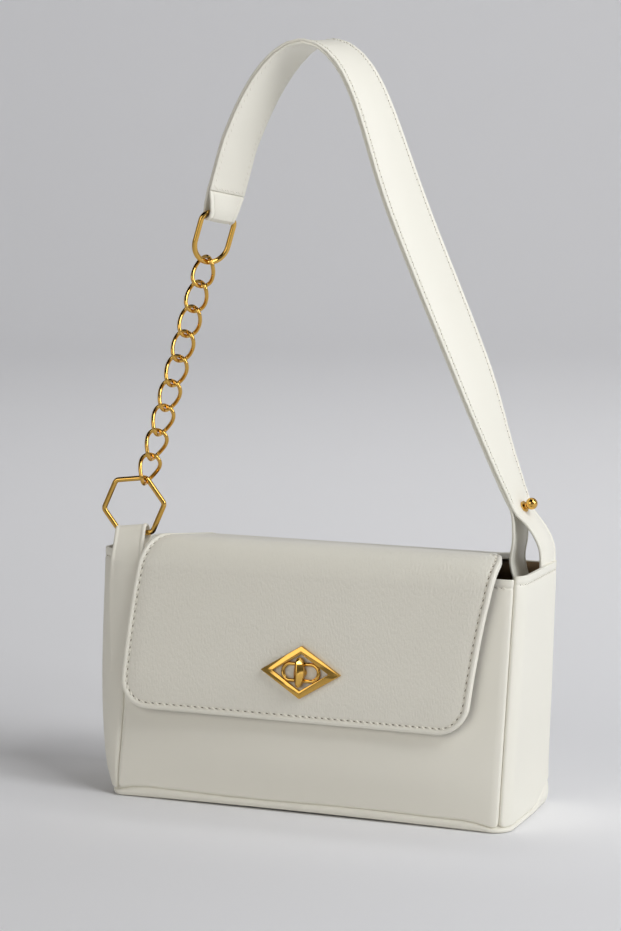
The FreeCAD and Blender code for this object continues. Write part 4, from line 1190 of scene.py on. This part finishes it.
def strip(name, at, run):
    """One layer of the strap, laid along its route."""
    piece = blank(name, STRAP_WIDE, run)
    edge = [STRAP_MARGIN + k * STRAP_SCORE - STRAP_WIDE / 2 for k in (-1.5, -0.7, 0, 0.7, 1.5)]
    score(ACROSS, edge + [0] + [-stop for stop in edge])
    score(ALONG, spaced(0, run, STRAP_STEP))
    thicken(piece, STRAP_LAYER, STRAP_RIM)
    dress(piece, smooth_leather)

    def place(x, y, z):
        spot, side, out, width = at(y)
        pull = 0
        if z > -STRAP_LAYER / 2:
            pull = PULL_SHARE * groove((STRAP_WIDE / 2 - abs(x) - STRAP_MARGIN) * PULL_NARROW)
        return spot + side * fit_across(x, STRAP_WIDE, width) + out * (z + STRAP_LAYER / 2 - pull)

    lay(piece, place)
    return piece


def edge_rows(name, at, start, end, flip=1):
    """Stitches beside both edges of a layer."""
    rows = []
    for edge_name, sign in (("front", -1), ("back", 1)):

        def place(x, y, z):
            spot, side, out, width = at(start + y)
            across = sign * (width / 2 - STRAP_MARGIN) + x
            return spot + side * across + out * flip * (z + STRAP_LAYER / 2 - SEWN_IN)

        rows.append(stitch_row(f"{name}_{edge_name}", end - start, place, HEM_PITCH, FINE))
    return rows


def across_end(x, y, z):
    spot, side, out, width = inner_at(inner_run - END_ROW_IN + x)
    across = y - SPREAD_WIDE / 2 + STRAP_MARGIN
    return spot + side * across - out * (z + STRAP_LAYER / 2 - END_SEWN_IN)


strap_outer = strip("strap_outer_skin", outer_at, outer_run)
strap_inner = strip("strap_inner_skin", inner_at, inner_run)
sewn = edge_rows("strap_outer_stitches", outer_at, 80 * MM, outer_run - 42 * MM)
sewn += edge_rows("strap_inner_stitches", inner_at, 82 * MM, inner_run - 1 * MM, -1)
sewn.append(stitch_row(
    "strap_end_stitches", SPREAD_WIDE - 2 * STRAP_MARGIN, across_end, HEM_PITCH, FINE))
for piece in (strap_outer, strap_inner):
    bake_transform(piece)
for row in sewn:
    sew(row, "handle")
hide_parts("strap_outer", "strap_anchor_outer")
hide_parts("strap_lining", "strap_anchor_inner")

# %% [markdown]
# ## Ring tab
#
# A narrow strip of the same leather grows out of the left front corner, goes up over the lowest bar of
# the hexagon ring and comes down behind itself. On the body it lies on the round corner, and further
# down it is pared away until it is flush. Its rounded edges catch the light. It is a route like the
# strap's, but its lower part is laid on the wall itself, so that it follows the corner without a gap.

# %% Tab line
TAB_WIDE = 19.3 * MM
TAB_AT_TOP = 18.5 * MM
TAB_BEHIND = 15.6 * MM
TAB_FOOT = 70 * MM
TAB_PROUD = 134 * MM
TAB_RUN = -110.65 * MM
TAB_SHIFT = -2.75 * MM
TAB_SUNK = -1.0 * MM
TAB_STANDS = 2.3 * MM
TAB_TUCKED = 0.6 * MM
TAB_BEND = 4.4 * MM
BAR = Vector((-116.3485, -13.7219, 149)) * MM
BAR_LINE = Vector((0.9807, 0.1651, 0.1045))
RING_UP = Vector((-0.1031, -0.0174, 0.9945))
bar_back = RING_UP.cross(BAR_LINE).normalized()
CLIMB_HEIGHTS = range(70, 137, 6)
BAR_ANGLES = (150, 125, 100, 75, 50, 25, 0, -30, -60, -85)
BEHIND_HEIGHTS = (138, 132)
NARROWS_FROM = 60
NARROWS_OVER = 120


def corner_row(height, out, width):
    """Middle of the tab where it lies on the corner."""
    return (wall(TAB_RUN + TAB_SHIFT, height, out), ACROSS, width)


def round_bar(angle, shift, width):
    """Middle of the tab where it goes round the ring's bar."""
    turned = bar_back * math.cos(angle) + RING_UP * math.sin(angle)
    return (BAR + BAR_LINE * shift + turned * TAB_BEND, BAR_LINE, width)


def pared(height):
    """How far the tab stands out from the corner at a height."""
    return between(TAB_SUNK, TAB_STANDS, eased((height - TAB_FOOT) / (TAB_PROUD - TAB_FOOT)))


tab_rows = [corner_row(height * MM, pared(height * MM), TAB_WIDE) for height in CLIMB_HEIGHTS]
for angle in BAR_ANGLES:
    gone = eased((NARROWS_FROM - angle) / NARROWS_OVER)
    width = between(TAB_AT_TOP, TAB_BEHIND, gone)
    tab_rows.append(round_bar(math.radians(angle), TAB_SHIFT * (1 - gone), width))
tab_rows += [corner_row(height * MM, TAB_TUCKED, TAB_BEHIND) for height in BEHIND_HEIGHTS]
tab_at, tab_run = route(tab_rows)
print("tab from foot to end:", round(tab_run / MM), "mm")

# %% [markdown]
# ### Tab skin
#
# The tab is one thin layer with a raised rim on each side. Between two heights it passes from lying on
# the wall to hanging free on its route, by a share that eases from one to the other.

# %% Tab
TAB_LAYER = 1.6 * MM
TAB_EDGE = 0.75 * MM
TAB_RIM = 0.5 * MM
TAB_RIM_IN = 1.2
TAB_SCORE = 0.6 * MM
TAB_STEP = 2 * MM
TAB_LEAVES = 114 * MM
TAB_FREE = 146 * MM
tab_climb = (TAB_FREE - TAB_FOOT) / math.cos(LEAN)


def on_tab(x, y, z):
    spot, side, out, width = tab_at(y)
    if z > -TAB_LAYER / 2:
        z += TAB_RIM * max(0, 1 - ((TAB_WIDE / 2 - abs(x)) / MM - TAB_RIM_IN) ** 2)
    free = spot + side * fit_across(x, TAB_WIDE, width) + out * (z + TAB_LAYER / 2)
    height = TAB_FOOT + y * math.cos(LEAN)
    share = eased((height - TAB_LEAVES) / (TAB_FREE - TAB_LEAVES))
    if share >= 1 or y > tab_climb:
        return free
    return wall(TAB_RUN + x, height, pared(height) + z + TAB_LAYER / 2).lerp(free, share)


tab = blank("ring_tab_skin", TAB_WIDE, tab_run)
score(ACROSS, spaced(-TAB_WIDE / 2, TAB_WIDE / 2, TAB_SCORE))
score(ALONG, spaced(0, tab_run, TAB_STEP))
thicken(tab, TAB_LAYER, TAB_EDGE)
lay(tab, on_tab)
dress(tab, smooth_leather)
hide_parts("ring_tab")
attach(tab, "body")

# %% [markdown]
# ## Turn lock
#
# The lock is cast brass, polished and plated. A diamond frame sits on the flap, and inside it a rounded
# oblong loop guards the knob. Both are rings cut from a flat outline: inset, opened, raised and rounded.
# Each piece is modelled lying flat at the origin, x across, y up the flap and z out, and then set in
# place, because shapes are easier to judge when they lie along the axes.

# %% Lock frame and loop
LOCK = Vector((0, -33.6403, 80)) * MM
OUT_FRONT = Vector((0, -math.cos(LEAN), math.sin(LEAN)))
UP_FRONT = Vector((0, math.sin(LEAN), math.cos(LEAN)))
LOCK_SEAT = 7.8 * MM


def on_lock(x, y, z):
    return LOCK + ACROSS * x + UP_FRONT * y + OUT_FRONT * (LOCK_SEAT + z)


def ring_up(piece, band, height, edge, steps):
    """Turns a flat outline into a ring: opened inside its band, raised to its height, edges rounded."""
    whole()
    bpy.ops.mesh.inset(thickness=band)
    bpy.ops.mesh.delete(type="FACE")
    whole()
    raise_by(height)
    face_out()
    round_edges(piece, edge, steps)


def set_on_lock(piece, node_name, body):
    lay(piece, on_lock)
    dress(piece, gold)
    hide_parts(node_name)
    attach(piece, body)


BEZEL_WIDE = 49 * MM
BEZEL_HIGH = 30 * MM
BEZEL_BAND = 3.9 * MM
BEZEL_THICK = 2.4 * MM
BEZEL_EDGE = 0.4 * MM
clear()
bpy.ops.mesh.primitive_circle_add(vertices=4, radius=0.5, fill_type="NGON")
bezel = named("lock_bezel_frame")
whole()
bpy.ops.transform.resize(value=(BEZEL_WIDE, BEZEL_HIGH, 1))
ring_up(bezel, BEZEL_BAND, BEZEL_THICK, BEZEL_EDGE, 2)
set_on_lock(bezel, "lock_bezel", "flap_front")

LOOP_HIGH = 11.6 * MM
LOOP_STRAIGHT = 12.4 * MM
LOOP_BAND = 2.1 * MM
LOOP_THICK = 2.2 * MM
LOOP_EDGE = 0.95 * MM
clear()
bpy.ops.mesh.primitive_circle_add(vertices=32, radius=LOOP_HIGH / 2, fill_type="NGON")
loop = named("lock_loop")
for side in (-1, 1):
    select(loop, "verts", lambda vert: vert.co.x * side > SMALL)
    bpy.ops.transform.translate(value=(side * LOOP_STRAIGHT / 2, 0, 0))
ring_up(loop, LOOP_BAND, LOOP_THICK, LOOP_EDGE, 4)
set_on_lock(loop, "lock_escutcheon", "flap_front")

# %% [markdown]
# ### Knob
#
# The knob is a blade with a sharp ridge on a round collar, and fingers turn it by the blade. It grows
# from one circle: raised to the collar, drawn out to an oval, raised to the blade's waist and pinched to
# the ridge. A lathe could only make the collar.

# %% Lock knob
COLLAR = 3.4 * MM
COLLAR_TOP = 1.5 * MM
COLLAR_FOOT = 0.1 * MM
BLADE_LONG = 17.2 * MM
BLADE_WIDE = 6 * MM
BLADE_WAIST = 3.0 * MM
BLADE_TOP = 7.8 * MM
BLADE_EDGE = 0.22 * MM
BLADE_SHARP = math.radians(30)
RIDGE = (0.1, 0.72, 1)
clear()
bpy.ops.mesh.primitive_circle_add(
    vertices=24, radius=COLLAR, fill_type="NGON", location=(0, 0, COLLAR_FOOT))
knob = named("lock_knob_blade")
whole()
raise_by(COLLAR_TOP)
raise_by(0)
bpy.ops.transform.resize(value=(BLADE_WIDE / 2 / COLLAR, BLADE_LONG / 2 / COLLAR, 1))
raise_by(BLADE_WAIST)
raise_by(BLADE_TOP - BLADE_WAIST - COLLAR_TOP)
bpy.ops.transform.resize(value=RIDGE)
face_out()
round_edges(knob, BLADE_EDGE, 2, BLADE_SHARP)
set_on_lock(knob, "lock_knob", "lock")

# %% [markdown]
# ## Other metal
#
# Rings, chain and stud come from the frame as they are, with their finish: gold plate for what is seen,
# plated steel for the plates and screws behind the leather. Their shapes are exact in CAD already, so
# only their shading is smoothed.

# %% Metal finishes
STEEL_NODES = (
    "lock_back_plate", "lock_screws", "strike_backing", "strike_rivets", "stud_screw", "lock_tongue")
plated = [name for name, item in frame["nodes"].items()
          if not item.hide_render and name != "base_board"]
for name in plated:
    dress(frame["nodes"][name], steel if name in STEEL_NODES else gold)
    pick(frame["nodes"][name])
    bpy.ops.object.shade_smooth_by_angle(angle=SMOOTH_ANGLE)
print("metal pieces from the frame:", len(plated))

# %% [markdown]
# ## Studio
#
# A round cove of pale paper carries the bag: a floor that curves up into a wall on all sides, so that
# every view has the same plain ground. A flat sheet with a bend would show its end from behind. The
# paper is matt and very light, and how grey it looks comes from the light that reaches it.

# %% Floor and backdrop
COVE_RADIUS = 4.2
COVE_HIGH = 3.2
COVE_BEND = 1.5
COVE_SIDES = 96
COVE_BEND_STEPS = 20
clear()
bpy.ops.mesh.primitive_circle_add(vertices=COVE_SIDES, radius=COVE_RADIUS, fill_type="NGON")
cove = named("paper_cove")
whole()
raise_by(COVE_HIGH)
select(cove, "faces", lambda face: face.calc_center_median().z > COVE_HIGH - SMALL)
bpy.ops.mesh.delete(type="FACE")
face_out(inside=True)
select(cove, "edges", lambda edge: all(vert.co.z < SMALL for vert in edge.verts))
bpy.ops.mesh.bevel(offset=COVE_BEND, segments=COVE_BEND_STEPS)
pick(cove)
bpy.ops.object.shade_smooth()
paper = material_of("paper", "#F0F0F2", Roughness=0.95, Specular_IOR_Level=0.1)
dress(cove, paper)
print("cove:", [round(side, 1) for side in cove.dimensions], "m")

# %% [markdown]
# ### Light
#
# Two soft lamps stand at the right, one high and one level with the bag, and model its sides. A wide,
# weaker one fills from the left front, and one more lights only the wall behind. They are hidden from the
# camera, since it looks past them in some views. The air itself is almost dark, so the shadows stay.

# %% Lamps
# Each row: name, place, aim, size in metres, power in watts, tint.
LAMPS = (
    ("key", (1.4, -0.5, 1.8), (0, 0, 0.15), 0.9, 18, "#FFFFFF"),
    ("side", (2.05, -0.15, 0.98), (0, 0, 0.15), 0.9, 18.5, "#F8FBFF"),
    ("fill", (-0.6, -2.3, 1.0), (0, 0, 0.2), 1.6, 12, "#FFFAF0"),
    ("backdrop", (0.1, 1.1, 2.6), (0, 3.6, 0.9), 2.2, 45, "#FFFFFF"),
)
AIR = 0.01


def turned_from(place, aim):
    """Rotation that makes a lamp or a camera at a place look at its aim."""
    return (Vector(place) - Vector(aim)).to_track_quat("Z", "Y").to_euler()


for name, place, aim, size, power, tint in LAMPS:
    lamp = bpy.data.lights.new(name, "AREA")
    lamp.size = size
    lamp.energy = power
    lamp.color = linear(tint)[:3]
    holder = bpy.data.objects.new(name, lamp)
    bpy.context.scene.collection.objects.link(holder)
    holder.location = place
    holder.rotation_euler = turned_from(place, aim)
    holder.visible_camera = False
world = bpy.data.worlds.new("studio_air")
world.use_nodes = True
air = world.node_tree.nodes["Background"].inputs
air["Color"].default_value = linear("#FFFFFF")
air["Strength"].default_value = AIR
bpy.context.scene.world = world
bpy.context.scene.view_settings.view_transform = "Standard"
print("lamps:", ", ".join(row[0] for row in LAMPS))

# %% [markdown]
# ### Camera
#
# The camera stands to the right of the front and a little above, with a long lens as for a catalogue. The
# lens comes from a focal length in pixels of an image 931 pixels high.

# %% Camera
IMAGE_HIGH = 931
FOCAL_PIXELS = 3200
SENSOR = 36
YAW = math.radians(23.5)
PITCH = math.radians(7.5)
DISTANCE = 1.825
AIM = Vector((-12.5, 0, 192.5)) * MM
lens = bpy.data.cameras.new("camera")
lens.sensor_fit = "VERTICAL"
lens.sensor_height = SENSOR
lens.sensor_width = SENSOR
lens.lens = SENSOR * FOCAL_PIXELS / IMAGE_HIGH
camera = bpy.data.objects.new("camera", lens)
bpy.context.scene.collection.objects.link(camera)
level = math.cos(PITCH)
backward = Vector((math.sin(YAW) * level, -math.cos(YAW) * level, math.sin(PITCH)))
camera.location = AIM + backward * DISTANCE
camera.rotation_euler = backward.to_track_quat("Z", "Y").to_euler()
bpy.context.scene.camera = camera
print("camera lens:", round(lens.lens), "mm")
